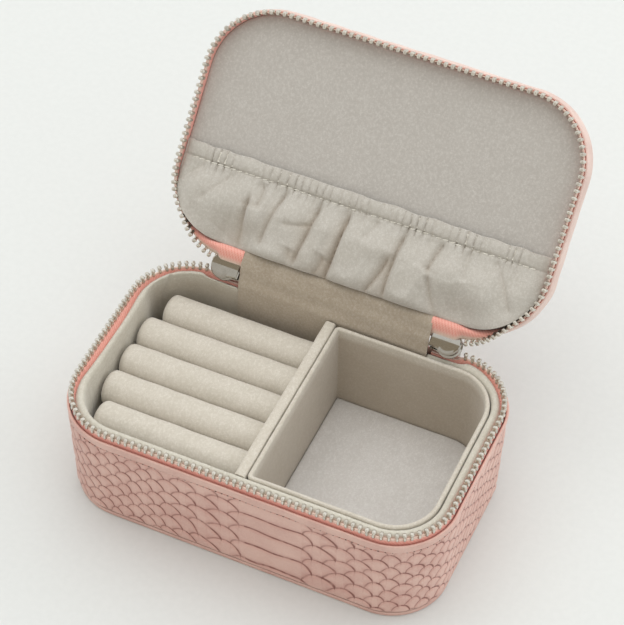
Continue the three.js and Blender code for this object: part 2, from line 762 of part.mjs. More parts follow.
for (const [side, direction] of [["right", 1], ["left", -1]]) {
  const turning = new THREE.Group();
  turning.position.set(HINGE_CENTRE_X + direction * SLIDER_X, SLIDER_PIVOT.y, SLIDER_PIVOT.z);
  turning.rotation.x = -SLIDER_TURN;
  jewelleryCase.add(turning);
  const onChain = new THREE.Group();
  onChain.position.set(0, SLIDER_CHAIN.y - SLIDER_PIVOT.y, SLIDER_CHAIN.z - SLIDER_PIVOT.z);
  onChain.rotation.y = direction > 0 ? 0 : Math.PI;
  turning.add(onChain);
  add(onChain, `slider_${side}`, sliderBody(), nickel);
  add(onChain, `slider_pull_${side}`, pullTab(), nickel);
}

export default jewelleryCase;
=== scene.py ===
"""Zip-round travel jewellery case, open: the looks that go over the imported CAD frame. Blender 4.5, metres.

Shapes are worked out in millimetres, +Z up, +X to the right along the hinge, +Y to the back, and scaled once
when a mesh is made. The lid is drawn closed, as in the CAD, and swung open by opened().
"""

import math

import bmesh
import bpy
import numpy as np
from mathutils import Matrix


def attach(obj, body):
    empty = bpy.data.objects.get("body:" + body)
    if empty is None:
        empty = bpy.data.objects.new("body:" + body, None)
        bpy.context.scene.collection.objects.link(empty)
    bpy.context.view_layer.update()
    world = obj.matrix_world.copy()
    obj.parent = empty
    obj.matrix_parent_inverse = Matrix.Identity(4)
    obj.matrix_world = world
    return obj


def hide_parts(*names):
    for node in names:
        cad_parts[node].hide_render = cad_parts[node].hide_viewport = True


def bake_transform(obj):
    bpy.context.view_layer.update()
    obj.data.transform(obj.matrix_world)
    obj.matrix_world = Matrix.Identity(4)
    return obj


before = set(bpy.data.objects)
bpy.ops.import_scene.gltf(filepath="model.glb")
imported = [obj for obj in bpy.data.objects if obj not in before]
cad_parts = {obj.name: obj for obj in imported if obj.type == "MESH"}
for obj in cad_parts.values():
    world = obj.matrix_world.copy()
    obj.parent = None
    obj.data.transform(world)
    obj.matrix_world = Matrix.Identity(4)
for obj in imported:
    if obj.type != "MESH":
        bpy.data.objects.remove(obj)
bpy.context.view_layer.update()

MM = 0.001

# ---- dimensions shared with the CAD ----
BASE_PLAN = (57.0, 34.0, 17.1)
LID_PLAN = (57.0, 34.3, 19.5)
DRAFT_END = 28.0
DRAFT = 1.0
TOOTH_PITCH = 2.06
HINGE = (36.0, 44.0)
LID_OPENING = math.radians(133)
HINGE_CENTRE_X = -0.7
HINGE_HALF_WIDTH = 29.8
SLIDER_ZONE = 39.5
SLIDER_X = 34.6
SLIDER_REST = (34.20, 39.43)
SLIDER_TURN = math.radians(60)
ROLL_PITCH = 11.0
ROLL_CENTRE = (0.3, 26.2)
LID_PANEL = 43.2


# ---- curves and noise ----
def smooth(x, a, b):
    """0 before a, 1 after b, and an S between them."""
    t = np.clip((np.asarray(x, float) - a) / (b - a), 0, 1)
    return t * t * (3 - 2 * t)


def ripples(u, v, pitch, seed, waves=7):
    """Soft random undulation, mostly between -1 and 1."""
    rng = np.random.default_rng(seed)
    total = 0.0
    for _ in range(waves):
        heading, phase = rng.uniform(0, 2 * math.pi, 2)
        length = pitch * rng.uniform(0.65, 1.5)
        along = u * math.cos(heading) + v * math.sin(heading)
        total = total + np.sin(2 * math.pi * along / length + phase)
    return total / (1.3 * math.sqrt(waves))


def perimeter(plan):
    hx, hy, r = plan
    return 4 * (hx + hy - 2 * r) + 2 * math.pi * r


def outline(plan, s):
    """Points and outward normals at distances s from the middle of the back, clockwise seen from above."""
    hx, hy, r = plan
    half, side, quarter = hx - r, 2 * (hy - r), math.pi / 2 * r
    lengths = [half, quarter, side, quarter, 2 * half, quarter, side, quarter, half]
    s = np.mod(np.asarray(s, float), perimeter(plan))
    points = np.zeros(s.shape + (2,))
    normals = np.zeros(s.shape + (2,))
    x, y, heading, start = 0.0, hy, 0.0, 0.0
    for k, length in enumerate(lengths):
        last = k == len(lengths) - 1
        here = (s >= start) & ((s < start + length) | last)
        along = s[here] - start
        if k % 2:
            turn = heading - along / r
            cx, cy = x + r * math.sin(heading), y - r * math.cos(heading)
            normals[here] = np.stack([-np.sin(turn), np.cos(turn)], -1)
            points[here] = np.array([cx, cy]) + r * normals[here]
            heading -= math.pi / 2
            x, y = cx - r * math.sin(heading), cy + r * math.cos(heading)
        else:
            way = np.array([math.cos(heading), math.sin(heading)])
            points[here] = np.array([x, y]) + along[:, None] * way
            normals[here] = [-math.sin(heading), math.cos(heading)]
            x, y = x + length * way[0], y + length * way[1]
        start += length
    return points, normals


def on_plan(plan, s, offset, z):
    """Points beside a plan's outline: s, offset and z are arrays that broadcast together."""
    s, offset, z = np.broadcast_arrays(*(np.asarray(a, float) for a in (s, offset, z)))
    points, normals = outline(plan, s)
    xy = points + normals * offset[..., None]
    return np.concatenate([xy, z[..., None]], -1)


def opened(points):
    """Where points of the closed lid are when the lid is open."""
    p = np.array(points, float)
    dy, dz = p[..., 1] - HINGE[0], p[..., 2] - HINGE[1]
    c, s = math.cos(LID_OPENING), math.sin(LID_OPENING)
    p[..., 1] = HINGE[0] + dy * c + dz * s
    p[..., 2] = HINGE[1] - dy * s + dz * c
    return p


def draft(z):
    return np.where(z < DRAFT_END, -DRAFT * (1 - z / DRAFT_END), 0.0)


def gap_ends(plan, half_width):
    """Distances along a plan of the two ends of a gap in the middle of the back."""
    return HINGE_CENTRE_X + half_width, perimeter(plan) + HINGE_CENTRE_X - half_width


def from_hinge(plan, s):
    """Distance round a plan from the middle of the hinge, the shorter way."""
    ahead, behind = gap_ends(plan, 0)
    return np.minimum(np.abs(s - ahead), np.abs(s - behind))


def run_length(points):
    """Distance along a line of points, at each of them."""
    return np.concatenate([[0], np.cumsum(np.linalg.norm(np.diff(points, axis=0), axis=1))])


def xyz(x, y, z):
    """Points from coordinates that broadcast together."""
    return np.stack(np.broadcast_arrays(x, y, z), -1)


def squared(turn, power):
    """Cosine and sine of a rounded oblong section."""
    return [np.sign(f) * np.abs(f) ** power for f in (np.cos(turn), np.sin(turn))]


def unit(v):
    v = np.asarray(v, float)
    return v / np.linalg.norm(v, axis=-1, keepdims=True)


# ---- meshes ----
def grid_faces(rows, columns, wrap_rows=False, wrap_columns=False):
    r = np.arange(rows if wrap_rows else rows - 1)[:, None]
    c = np.arange(columns if wrap_columns else columns - 1)[None, :]
    r1, c1 = (r + 1) % rows, (c + 1) % columns
    corners = [r * columns + c, r * columns + c1, r1 * columns + c1, r1 * columns + c]
    return np.stack(np.broadcast_arrays(*corners), -1).reshape(-1, 4).tolist()


def add(name, points, faces, material, body=None, nodes="", slot=None, uv=None, sharp=60, **attributes):
    """A smooth-shaded mesh in the row frame, from points in millimetres.

    nodes names the CAD nodes it replaces. attributes hold one number per point.
    """
    points = np.asarray(points, float).reshape(-1, 3) * MM
    mesh = bpy.data.meshes.new(name)
    mesh.from_pydata(points.tolist(), [], faces)
    work = bmesh.new()
    work.from_mesh(mesh)
    bmesh.ops.recalc_face_normals(work, faces=work.faces)
    work.to_mesh(mesh)
    work.free()
    if uv is not None:
        corner = np.zeros(len(mesh.loops), np.int32)
        mesh.loops.foreach_get("vertex_index", corner)
        layer = mesh.uv_layers.new(name="pattern")
        layer.data.foreach_set("uv", np.asarray(uv, np.float32).reshape(-1, 2)[corner].ravel())
    for key, values in attributes.items():
        layer = mesh.attributes.new(key, "FLOAT", "POINT")
        layer.data.foreach_set("value", np.asarray(values, np.float32).ravel())
    mesh.shade_smooth()
    mesh.set_sharp_from_angle(angle=math.radians(sharp))
    mesh.materials.append(material.owner)
    piece = bpy.data.objects.new(name, mesh)
    bpy.context.scene.collection.objects.link(piece)
    if body:
        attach(piece, body)
    if nodes:
        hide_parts(*nodes.split())
    return piece


def tube_faces(rows, size, closed):
    """Faces of rows of closed loops, capped at both ends unless the rows come round again."""
    faces = grid_faces(rows, size, wrap_rows=closed, wrap_columns=True)
    if not closed:
        faces.append(list(range(size)))
        faces.append(list(range((rows - 1) * size, rows * size)))
    return faces


def joined(*parts):
    """One mesh of several, each a pair of points and faces."""
    points, faces, start = [], [], 0
    for p, f in parts:
        points.append(p)
        faces.extend([[i + start for i in face] for face in f])
        start += len(p)
    return np.concatenate(points), faces


def copies(points, faces, places):
    """One mesh of many copies: places is a list of 4x4 matrices, in millimetres."""
    return joined(*[(points @ place[:3, :3].T + place[:3, 3], faces) for place in places])


def placed(origin, x, y, z):
    place = np.eye(4)
    place[:3, 0], place[:3, 1], place[:3, 2], place[:3, 3] = x, y, z, origin
    return place


# ---- shader graphs, where a formula reads as a formula ----
class Term:
    """A number worked out by shader nodes."""

    def __init__(self, graph, socket):
        self.graph, self.socket = graph, socket

    def math(self, operation, *others):
        return self.graph.math(operation, self, *others)

    def __rsub__(self, other):
        return self.graph.math("SUBTRACT", other, self)

    def __rtruediv__(self, other):
        return self.graph.math("DIVIDE", other, self)


for sign, operation in {"add": "ADD", "sub": "SUBTRACT", "mul": "MULTIPLY", "truediv": "DIVIDE"}.items():
    setattr(Term, f"__{sign}__", lambda self, other, operation=operation: self.math(operation, other))
Term.__radd__, Term.__rmul__ = Term.__add__, Term.__mul__


def floor(x):
    return x.math("FLOOR") if isinstance(x, Term) else np.floor(x)


def root(x):
    return x.math("SQRT") if isinstance(x, Term) else np.sqrt(np.maximum(x, 0))


def lower(a, b):
    return a.math("MINIMUM", b) if isinstance(a, Term) else np.minimum(a, b)


def less(a, b):
    return a.math("LESS_THAN", b) if isinstance(a, Term) else np.where(a < b, 1.0, 0.0)


def srgb(*rgb):
    """A colour from its display values, 0 to 255. None of them is near black."""
    return tuple(((c / 255 + 0.055) / 1.055) ** 2.4 for c in rgb) + (1.0,)


class Graph:
    """The node tree of a material or of the world."""

    def __init__(self, owner):
        owner.use_nodes = True
        self.owner = owner
        self.tree = owner.node_tree

    def node(self, kind, inputs, **settings):
        made = self.tree.nodes.new(kind)
        for key, value in settings.items():
            setattr(made, key, value)
        for key, value in inputs.items():
            self.plug(made.inputs[key], value)
        return made

    def plug(self, socket, value):
        if isinstance(value, Term):
            value = value.socket
        if isinstance(value, bpy.types.NodeSocket):
            self.tree.links.new(value, socket)
        else:
            socket.default_value = value

    def math(self, operation, *terms):
        made = self.node("ShaderNodeMath", dict(enumerate(terms)), operation=operation)
        return Term(self, made.outputs[0])

    def place(self, sx=1.0, sy=1.0, sz=1.0):
        """Object coordinates in millimetres, stretched."""
        where = self.node("ShaderNodeTexCoord", {}).outputs["Object"]
        scale = (sx / MM, sy / MM, sz / MM)
        return self.node("ShaderNodeMapping", {"Vector": where, "Scale": scale}).outputs[0]

    def noise(self, size, where=None, detail=2.0, roughness=0.5):
        """Noise between 0 and 1 with features of about this size in millimetres."""
        inputs = {"Vector": where or self.place(), "Scale": 1.0 / size}
        inputs.update(Detail=detail, Roughness=roughness)
        return Term(self, self.node("ShaderNodeTexNoise", inputs).outputs["Fac"])

    def step(self, value, a, b, low=0.0, high=1.0):
        inputs = {"Value": value, "From Min": a, "From Max": b, "To Min": low, "To Max": high}
        made = self.node("ShaderNodeMapRange", inputs, interpolation_type="SMOOTHSTEP")
        return Term(self, made.outputs[0])

    def mix(self, share, first, second):
        return self.node("ShaderNodeMix", {0: share, 6: first, 7: second}, data_type="RGBA").outputs[2]

    def attribute(self, name):
        return Term(self, self.node("ShaderNodeAttribute", {}, attribute_name=name).outputs["Fac"])

    def pattern(self):
        """The two numbers of the pattern UV."""
        where = self.node("ShaderNodeUVMap", {}, uv_map="pattern").outputs[0]
        parts = self.node("ShaderNodeSeparateXYZ", {0: where})
        return Term(self, parts.outputs[0]), Term(self, parts.outputs[1])

    def finish(self, colour, roughness, relief, depth, strength):
        """Plugs the look in. relief is a height from 0 to 1, that stands for depth millimetres."""
        bump = self.node("ShaderNodeBump", {"Height": relief, "Distance": depth * MM, "Strength": strength})
        for key, value in {"Base Color": colour, "Roughness": roughness, "Normal": bump.outputs[0]}.items():
            self.plug(self.shader.inputs[key], value)
        return self


def look(name, **settings):
    """A new material, with plain values for some of its shader's inputs."""
    g = Graph(bpy.data.materials.new(name))
    g.shader = g.tree.nodes["Principled BSDF"]
    for key, value in settings.items():
        g.shader.inputs[key.replace("_", " ")].default_value = value
    return g


# ---- snake-scale emboss: u counts columns of scales, v counts rows ----
COLUMN_AT = [0.0, 5.8, 13.0, 18.5, 23.3, 27.0, 30.5, 33.7, 36.9]
FAR_COLUMN = 3.15
BELLY_X = 10.7
BELLY_HALF = 8.2
FAR_ROW = 5.2
ARCH_REACH = 0.8
ARCH_DROP = 1.04
ARCH_ROUND = 1.3


def scale_grid(x, z):
    """Columns and rows of scales at a place on the wall: x along it from the belly's middle, z the height."""
    x = x + 0.4 * ripples(x, z, 9, 3)
    z = z + 0.4 * ripples(x, z, 11, 4)
    away = np.maximum(np.abs(x) - BELLY_HALF, 0)
    last = len(COLUMN_AT) - 1
    u = np.interp(away, COLUMN_AT, np.arange(last + 1.0))
    u = np.where(away > COLUMN_AT[-1], last + (away - COLUMN_AT[-1]) / FAR_COLUMN, u)
    bend, fall, first = 0.34, 8.35, 4.0
    belly = (fall - np.sqrt(np.maximum(fall**2 - 4 * bend * (z - first), 1))) / (2 * bend)
    far = 1.5 + (z - np.where(x > 0, 19.7, 21.2)) / FAR_ROW
    near = np.exp(-((away / 23) ** 2))
    return np.sign(x) * u, near * belly + (1 - near) * far


def arch(t):
    """How many rows the edge of a scale has dropped at t columns from its top, and how steep it is there."""
    part = lower(t, ARCH_REACH) / ARCH_REACH
    bow = root(1 - part * part / ARCH_ROUND)
    return ARCH_DROP * (1 - bow), 1.3 * ARCH_DROP / ARCH_ROUND / ARCH_REACH * part / bow


def scale_edges(u, v):
    """Distances in rows to a scale's edges above and below, and to its nearest right and left flank."""
    column = floor(u)
    t = u - column
    odd = column - 2 * floor(column / 2)
    drop_a, steep_a = arch(t)
    drop_b, steep_b = arch(1 - t)
    a = v - 0.5 * odd + drop_a
    b = v - 0.5 * (1 - odd) + drop_b
    a, b = a - floor(a), b - floor(b)
    no_a = 9 * less(ARCH_REACH + 0 * t, t)
    no_b = 9 * less(t, 1 - ARCH_REACH + 0 * t)
    up, down = lower(1 - a + no_a, 1 - b + no_b), lower(a + no_a, b + no_b)
    edge_a = lower(a, 1 - a) / root(1 + steep_a * steep_a) + no_a
    edge_b = lower(b, 1 - b) / root(1 + steep_b * steep_b) + no_b
    return up, down, edge_a, edge_b


def scale_relief(u, v):
    """Height of the emboss, 0 in the creases and 1 on the crown of a scale."""
    up, down, edge_a, edge_b = scale_edges(u, v)
    crease = smooth(lower(edge_a, edge_b), 0.0, 0.17)
    crown = 1 - 0.35 * smooth(up, 0.1, 0.9)
    return crease * crown


# ---- materials ----
def leather(name, scales, dark=srgb(208, 167, 156), light=srgb(220, 183, 171), glow=srgb(231, 203, 191)):
    g = look(name, Coat_Weight=0.12, Coat_Roughness=0.35, Specular_IOR_Level=0.42)
    soft = g.noise(9.0, detail=3)
    fine = g.noise(0.55, detail=4, roughness=0.6)
    pores = g.noise(0.16, detail=2)
    colour = g.mix(g.step(soft, 0.3, 0.7), dark, light)
    colour = g.mix(g.step(fine, 0.35, 0.75, 0, 0.35), colour, glow)
    relief = 0.25 * pores + 0.35 * fine
    if scales:
        u, v = g.pattern()
        up, down, edge_a, edge_b = scale_edges(u, v)
        shown = g.attribute("emboss")
        wobble = 0.035 * g.noise(1.2, detail=3)
        # Painted shade in the scale grooves: dark lines along the arches, at full strength on each arch's right
        # flank and at 0.62 on its left flank, as if lit from the left.
        line_a = 1 - g.step(edge_a + wobble, 0.036, 0.088)
        line_b = 1 - g.step(edge_b + wobble, 0.03, 0.074)
        # A fainter, reddish painted shade darkens the leather next to the grooves.
        painted_edge_shade = 1 - g.step(lower(edge_a, edge_b), 0.02, 0.26)
        broken = g.step(g.noise(2.2, detail=3), 0.3, 0.6, 0.5, 1)
        groove_and_painted_shade = lower(line_a + 0.62 * line_b, 1.0) * shown * broken
        colour = g.mix(painted_edge_shade * shown * 0.3, colour, srgb(188, 126, 116))
        colour = g.mix(groove_and_painted_shade * 0.9, colour, srgb(120, 66, 56))
        relief = relief + 0.9 * (1 - groove_and_painted_shade)
    rough = g.step(fine, 0.2, 0.8, 0.42, 0.58)
    return g.finish(colour, rough, relief, depth=0.09, strength=0.8)


def woven_tape(name):
    """Zip tape: slanting ribs, and a painted highlight that makes it paler along the cord where the teeth are
    clamped. Its UV is in millimetres.
    """
    g = look(name, Sheen_Weight=0.3, Sheen_Roughness=0.5, Specular_IOR_Level=0.2)
    u, v = g.pattern()
    rib = (u * 6.6 + v * 4.6).math("SINE") * 0.5 + 0.5
    pick = (v * 14.0 - u * 9.0).math("SINE") * 0.5 + 0.5
    weave = 0.55 * rib + 0.45 * pick
    fuzz = g.noise(0.4, detail=3)
    colour = g.mix(g.step(weave, 0.1, 0.8), srgb(236, 152, 138), srgb(246, 182, 168))
    colour = g.mix(g.step(fuzz, 0.35, 0.8, 0, 0.4), colour, srgb(250, 205, 192))
    # Painted highlight: the tape turns paler along its near edge, where the teeth clamp, as if lit from above.
    colour = g.mix(1 - g.step(v, 0.3, 1.1), colour, srgb(240, 214, 200))
    return g.finish(colour, 0.82, weave + 0.3 * fuzz, depth=0.06, strength=0.6)


def metal(name, tint, rough_low, rough_high, stain):
    g = look(name, Metallic=1.0, Specular_IOR_Level=0.5)
    cloud = g.noise(1.6, detail=3)
    scratch = g.noise(0.25, g.place(1.0, 5.0, 5.0), detail=2)
    colour = g.mix(g.step(cloud, 0.4, 0.8, 0, stain), tint, srgb(122, 112, 98))
    rough = g.step(cloud * 0.6 + scratch * 0.4, 0.3, 0.7, rough_low, rough_high)
    return g.finish(colour, rough, scratch, depth=0.01, strength=0.4)


def suede(name, dark, light, speck, nap_and_painted_shade=0.35, uneven=0.25, paints_shade=False):
    """Brushed microfibre: a short pile, faint clouds where it is stroked, and fine flecks. Where it paints
    shade, a mesh attribute turns it browner.
    """
    g = look(name, Sheen_Weight=0.35, Sheen_Roughness=0.45, Specular_IOR_Level=0.12)
    cloud = g.noise(6.0, detail=3, roughness=0.6)
    stroke = g.noise(0.75, g.place(1.0, 0.7, 0.9), detail=3, roughness=0.7)
    fibre = g.noise(0.3, g.place(1.0, 0.7, 1.3), detail=2, roughness=0.7)
    colour = g.mix(g.step(cloud, 0.3, 0.7, 0.5 - uneven, 0.5 + uneven), dark, light)
    colour = g.mix(g.step(stroke, 0.4, 0.66, 0, 0.5), colour, speck)
    colour = g.mix(g.step(fibre, 0.42, 0.62, 0.55, 0), colour, dark)
    # Painted shade: the colour turns browner where the mesh attribute read here is high, in the pocket's folds
    # and on inside walls.
    if paints_shade:
        colour = g.mix(g.step(g.attribute("cavity"), 0.1, 1.0, 0, 0.6), colour, srgb(146, 125, 100))
    relief = 0.6 * fibre + 0.4 * stroke
    return g.finish(colour, 0.9, relief, depth=0.12, strength=nap_and_painted_shade)


def board(name):
    g = look(name, Specular_IOR_Level=0.2)
    fleck = g.noise(0.7, g.place(1, 1, 3), detail=4)
    colour = g.mix(g.step(fleck, 0.35, 0.7), srgb(138, 131, 120), srgb(172, 165, 152))
    return g.finish(colour, 0.92, fleck, depth=0.1, strength=0.5)


def foam_cells(name):
    g = look(name, Specular_IOR_Level=0.15)
    cells = g.node("ShaderNodeTexVoronoi", {"Vector": g.place(), "Scale": 2.2})
    depth = Term(g, cells.outputs["Distance"])
    colour = g.mix(g.step(depth, 0.1, 0.6), srgb(232, 227, 216), srgb(206, 199, 186))
    return g.finish(colour, 0.95, depth, depth=0.2, strength=0.6)


def thread(name, dark, light):
    g = look(name, Sheen_Weight=0.3, Specular_IOR_Level=0.25)
    ply = (g.noise(0.3, g.place(1, 1, 1), detail=1) * 14.0).math("SINE") * 0.5 + 0.5
    colour = g.mix(g.step(ply, 0.2, 0.8), dark, light)
    return g.finish(colour, 0.7, ply, depth=0.04, strength=0.6)


SCALY = leather("snake_emboss_leather", True)
SMOOTH = leather("smooth_leather", False)
EDGE = leather("edge_leather", False, srgb(212, 182, 172), srgb(226, 200, 190), srgb(236, 216, 208))
TAPE = woven_tape("coral_zip_tape")
TEETH = metal("nickel_teeth", srgb(222, 217, 207), 0.2, 0.34, 0.4)
SLIDER = metal("nickel_slider", srgb(178, 174, 166), 0.08, 0.16, 0.15)
SUEDE = suede("grey_suede", srgb(192, 186, 172), srgb(210, 206, 194), srgb(224, 220, 211), paints_shade=True)
TRAY_SUEDE = suede("tray_suede", srgb(192, 184, 170), srgb(209, 203, 192), srgb(225, 220, 211), paints_shade=True)
PALE = suede("pale_suede", srgb(193, 186, 173), srgb(210, 203, 192), srgb(225, 220, 211))
panel_tones = srgb(176, 171, 165), srgb(192, 188, 182), srgb(210, 207, 202)
PANEL = suede("panel_suede", *panel_tones, nap_and_painted_shade=0.5, uneven=0.12)
tray_floor_tones = srgb(204, 200, 196), srgb(219, 216, 213), srgb(233, 231, 229)
FLOOR_SUEDE = suede("tray_floor_suede", *tray_floor_tones, nap_and_painted_shade=0.5)
cloth_tones = srgb(179, 174, 165), srgb(197, 193, 186), srgb(213, 210, 204)
CLOTH = suede("pocket_cloth", *cloth_tones, nap_and_painted_shade=0.3, paints_shade=True)
STRIP = suede("hinge_suede", srgb(166, 153, 136), srgb(184, 173, 157), srgb(202, 194, 181))
PINK_THREAD = thread("pink_thread", srgb(186, 128, 118), srgb(212, 164, 152))
CREAM_THREAD = thread("cream_thread", srgb(206, 202, 190), srgb(236, 233, 224))
# Painted shade: a dark brown that stands for the shade inside the stitch holes.
HOLE_SHADE = thread("stitch_hole_shade", srgb(84, 48, 42), srgb(110, 68, 60))
BOARD = board("greyboard")
FOAM = foam_cells("open_cell_foam")


# ---- base: leather wall ----
LEATHER_TOP = 34.5
SEAM_Z = 31.35
LEATHER_OUT = 1.15
LEATHER_IN = 0.66
WALL_FOOT = 2.1
EMBOSS = 0.26


def folded_band(z):
    """How far the plain folded band at the top of the wall swells past the embossed leather."""
    middle = np.clip((z - SEAM_Z) / (LEATHER_TOP - SEAM_Z), 0, 1)
    pinch = np.exp(-(((z - SEAM_Z) / 0.55) ** 2))
    return 0.4 * np.sqrt(middle) * (1 - 0.35 * middle) - 0.16 * pinch


def base_wall(name, first, last, step):
    """One length of the wall as one closed body: embossed face, rolled top edge and plain back."""
    s = np.linspace(first, last, round((last - first) / step) + 1)
    face = np.linspace(WALL_FOOT, LEATHER_TOP - 0.35, round((LEATHER_TOP - WALL_FOOT) / step))
    roll = np.radians([25, 55, 90, 125, 155, 180])
    half = (LEATHER_OUT - LEATHER_IN) / 2
    centre = (LEATHER_OUT + LEATHER_IN) / 2
    back = np.array([30.0, DRAFT_END, 15.0, WALL_FOOT])
    z = np.concatenate([face, LEATHER_TOP - 0.35 + 0.35 * np.sin(roll), back])
    offset = [np.full(len(face), LEATHER_OUT), centre + half * np.cos(roll), np.full(len(back), LEATHER_IN)]
    offset = np.concatenate(offset) + draft(z)
    along = perimeter(BASE_PLAN) / 2 - BELLY_X - s
    shown = np.ones(len(z))
    shown[len(face) :] = 0
    shown = shown * (1 - smooth(z, SEAM_Z - 0.9, SEAM_Z - 0.1)) * smooth(z, WALL_FOOT, WALL_FOOT + 0.8)
    u, v = scale_grid(np.broadcast_to(along[:, None], (len(s), len(z))), z[None, :])
    lumps = 0.1 * ripples(s[:, None], z[None, :], 11, 8)
    on_face = np.concatenate([np.ones(len(face)), np.linspace(1, 0, len(roll)), np.zeros(len(back))])
    height = EMBOSS * (scale_relief(u, v) - 1) * shown + on_face * (folded_band(z) + lumps)
    foot_round = 0.5 * (1 - np.sqrt(np.clip((z - WALL_FOOT) / 0.9, 0, 1))) * on_face
    points = on_plan(BASE_PLAN, s[:, None], offset + height - foot_round, z[None, :])
    emboss = np.broadcast_to(shown, u.shape)
    faces = tube_faces(len(s), len(z), False)
    uv = np.stack([u, v], -1)
    add(name, points, faces, SCALY, "base", "base_wall_cover", "embossed_leather", uv, 70, emboss=emboss)


ROUND = perimeter(BASE_PLAN)
FINE = 0.34
BACK_SEAM = 52.0
base_wall("base_leather_front", BACK_SEAM, ROUND - BACK_SEAM, FINE)
base_wall("base_leather_back_right", HINGE_CENTRE_X, BACK_SEAM, 1.4 * FINE)
base_wall("base_leather_back_left", ROUND - BACK_SEAM, ROUND + HINGE_CENTRE_X, 1.4 * FINE)


def capsule(length, radius, sides=6):
    """A short thread along X, rounded at both ends."""
    stations = [(-0.5, 0.25), (-0.42, 0.75), (-0.25, 1.0), (0.25, 1.0), (0.42, 0.75), (0.5, 0.25)]
    turn = np.linspace(0, 2 * math.pi, sides, endpoint=False)
    rows = [xyz(x * length, radius * k * np.cos(turn), radius * k * np.sin(turn)) for x, k in stations]
    return np.concatenate(rows), tube_faces(len(stations), sides, False)


def stitch_row(name, centres, material, body, slot, length, radius, tilt=0.0, seed=1):
    """Threads at centres: a list of (point, along, outward)."""
    rng = np.random.default_rng(seed)
    places = []
    for point, along, out in centres:
        across = np.cross(out, along)
        angle = tilt + 0.1 * rng.standard_normal()
        x = math.cos(angle) * along + math.sin(angle) * across
        places.append(placed(point, x, np.cross(out, x), out))
    return add(name, *copies(*capsule(length, radius), places), material, body, "", slot, sharp=40)


def seam_places(offset, shift):
    """Places along the seam under the folded band: points, directions along it and outwards."""
    s = np.arange(shift, ROUND, STITCH)
    points = on_plan(BASE_PLAN, s, offset, SEAM_Z)
    _, normals = outline(BASE_PLAN, s)
    out = np.concatenate([normals, np.zeros((len(s), 1))], -1)
    along = np.stack([out[:, 1], -out[:, 0], np.zeros(len(s))], -1)
    return list(zip(points, along, out))


STITCH = ROUND / round(ROUND / 1.85)
seam = LEATHER_OUT + float(folded_band(SEAM_Z))
threads = seam_places(seam + 0.02, 0.0)
stitch_row("base_stitches", threads, PINK_THREAD, "base", "embossed_leather", 1.35, 0.17)
# Short dark threads between the stitches are painted shade in the stitch holes.
gaps = seam_places(seam - 0.02, STITCH / 2)
stitch_row("base_stitch_hole_shade", gaps, HOLE_SHADE, "base", "embossed_leather", 0.5, 0.2, seed=2)


# ---- base: bottom panel ----
def bottom():
    """The bottom panel, with a groove round its edge."""
    rings = [(-1.6, 0.0), (-0.7, 0.05), (-0.3, 0.25), (-0.2, 0.6), (-0.6, 0.82), (-0.15, 1.05), (-0.1, 1.35)]
    rings += [(-0.25, 1.62), (-0.9, 1.8), (-2.5, 1.8)]
    count = round(ROUND / 1.5)
    s = np.linspace(0, ROUND, count, endpoint=False)
    rows = np.stack([on_plan(BASE_PLAN, s, offset, z) for offset, z in rings])
    faces = tube_faces(len(rows), count, False)
    add("bottom_leather", rows, faces, SMOOTH, "base", "bottom_panel", "embossed_leather", sharp=40)


bottom()


# ---- zip ----
def tape(name, near, far, bulge, rows, body, node, thickness=0.4, cord=0.0):
    """A band of tape from the near line to the far line, as a closed sheet. bulge bends it sideways."""
    t = np.linspace(0, 1, rows)[None, :, None]
    middle = near[:, None] * (1 - t) + far[:, None] * t + bulge[:, None] * (4 * t * (1 - t))
    along = np.gradient(middle, axis=0)
    down = np.gradient(middle, axis=1)
    normal = unit(np.cross(along, down))
    points = np.concatenate([middle + normal * thickness / 2, (middle - normal * thickness / 2)[:, ::-1]], 1)
    across = cord + np.linalg.norm(far - near, axis=1).mean() * np.linspace(0, 1, rows)
    across = np.concatenate([across, across[::-1]])
    uv = np.stack(np.broadcast_arrays(run_length(near)[:, None], across[None, :]), -1)
    return add(name, points, tube_faces(len(near), 2 * rows, False), TAPE, body, node, "zip_tape", uv, 40)


def tooth():
    """One tooth, tip up at z 0: a clamp that narrows to a neck, and a rounded head."""
    levels = [(-2.6, 0.30, 0.45), (-2.53, 0.44, 0.68), (-2.3, 0.52, 0.8), (-1.7, 0.52, 0.82)]
    levels += [(-1.3, 0.42, 0.74), (-1.08, 0.36, 0.66), (-0.85, 0.5, 0.72), (-0.55, 0.64, 0.8)]
    levels += [(-0.28, 0.58, 0.72), (-0.08, 0.4, 0.5), (0.0, 0.18, 0.24)]
    sides = 12
    cx, cy = squared(np.linspace(0, 2 * math.pi, sides, endpoint=False), 0.75)
    rows = [xyz(a * cx, b * cy, z) for z, a, b in levels]
    return np.concatenate(rows), tube_faces(len(levels), sides, False)


def frames_along(points, tips):
    """Frames at points on a line: X along it, Z towards the tips."""
    along = unit(np.gradient(points, axis=0))
    z = unit(tips - along * np.sum(tips * along, -1, keepdims=True))
    return along, np.cross(z, along), z


def at(values, index):
    low = np.clip(np.floor(index).astype(int), 0, len(values) - 2)
    share = (index - low)[:, None]
    return values[low] * (1 - share) + values[low + 1] * share


def teeth_along(name, points, tips, start, body, node, seed):
    """A row of teeth, evenly spaced along a line and leaning a little each way."""
    length = run_length(points)
    index = np.interp(np.arange(start, length[-1], TOOTH_PITCH), length, np.arange(len(points)))
    along, _, z = frames_along(points, tips)
    rng = np.random.default_rng(seed)
    places = []
    for p, x, t in zip(at(points, index), at(along, index), at(z, index)):
        x = unit(x + 0.05 * rng.standard_normal() * t)
        t = unit(t - x * (t @ x))
        places.append(placed(p, x, np.cross(t, x), t))
    return add(name, *copies(*tooth(), places), TEETH, body, node, "nickel", sharp=40)


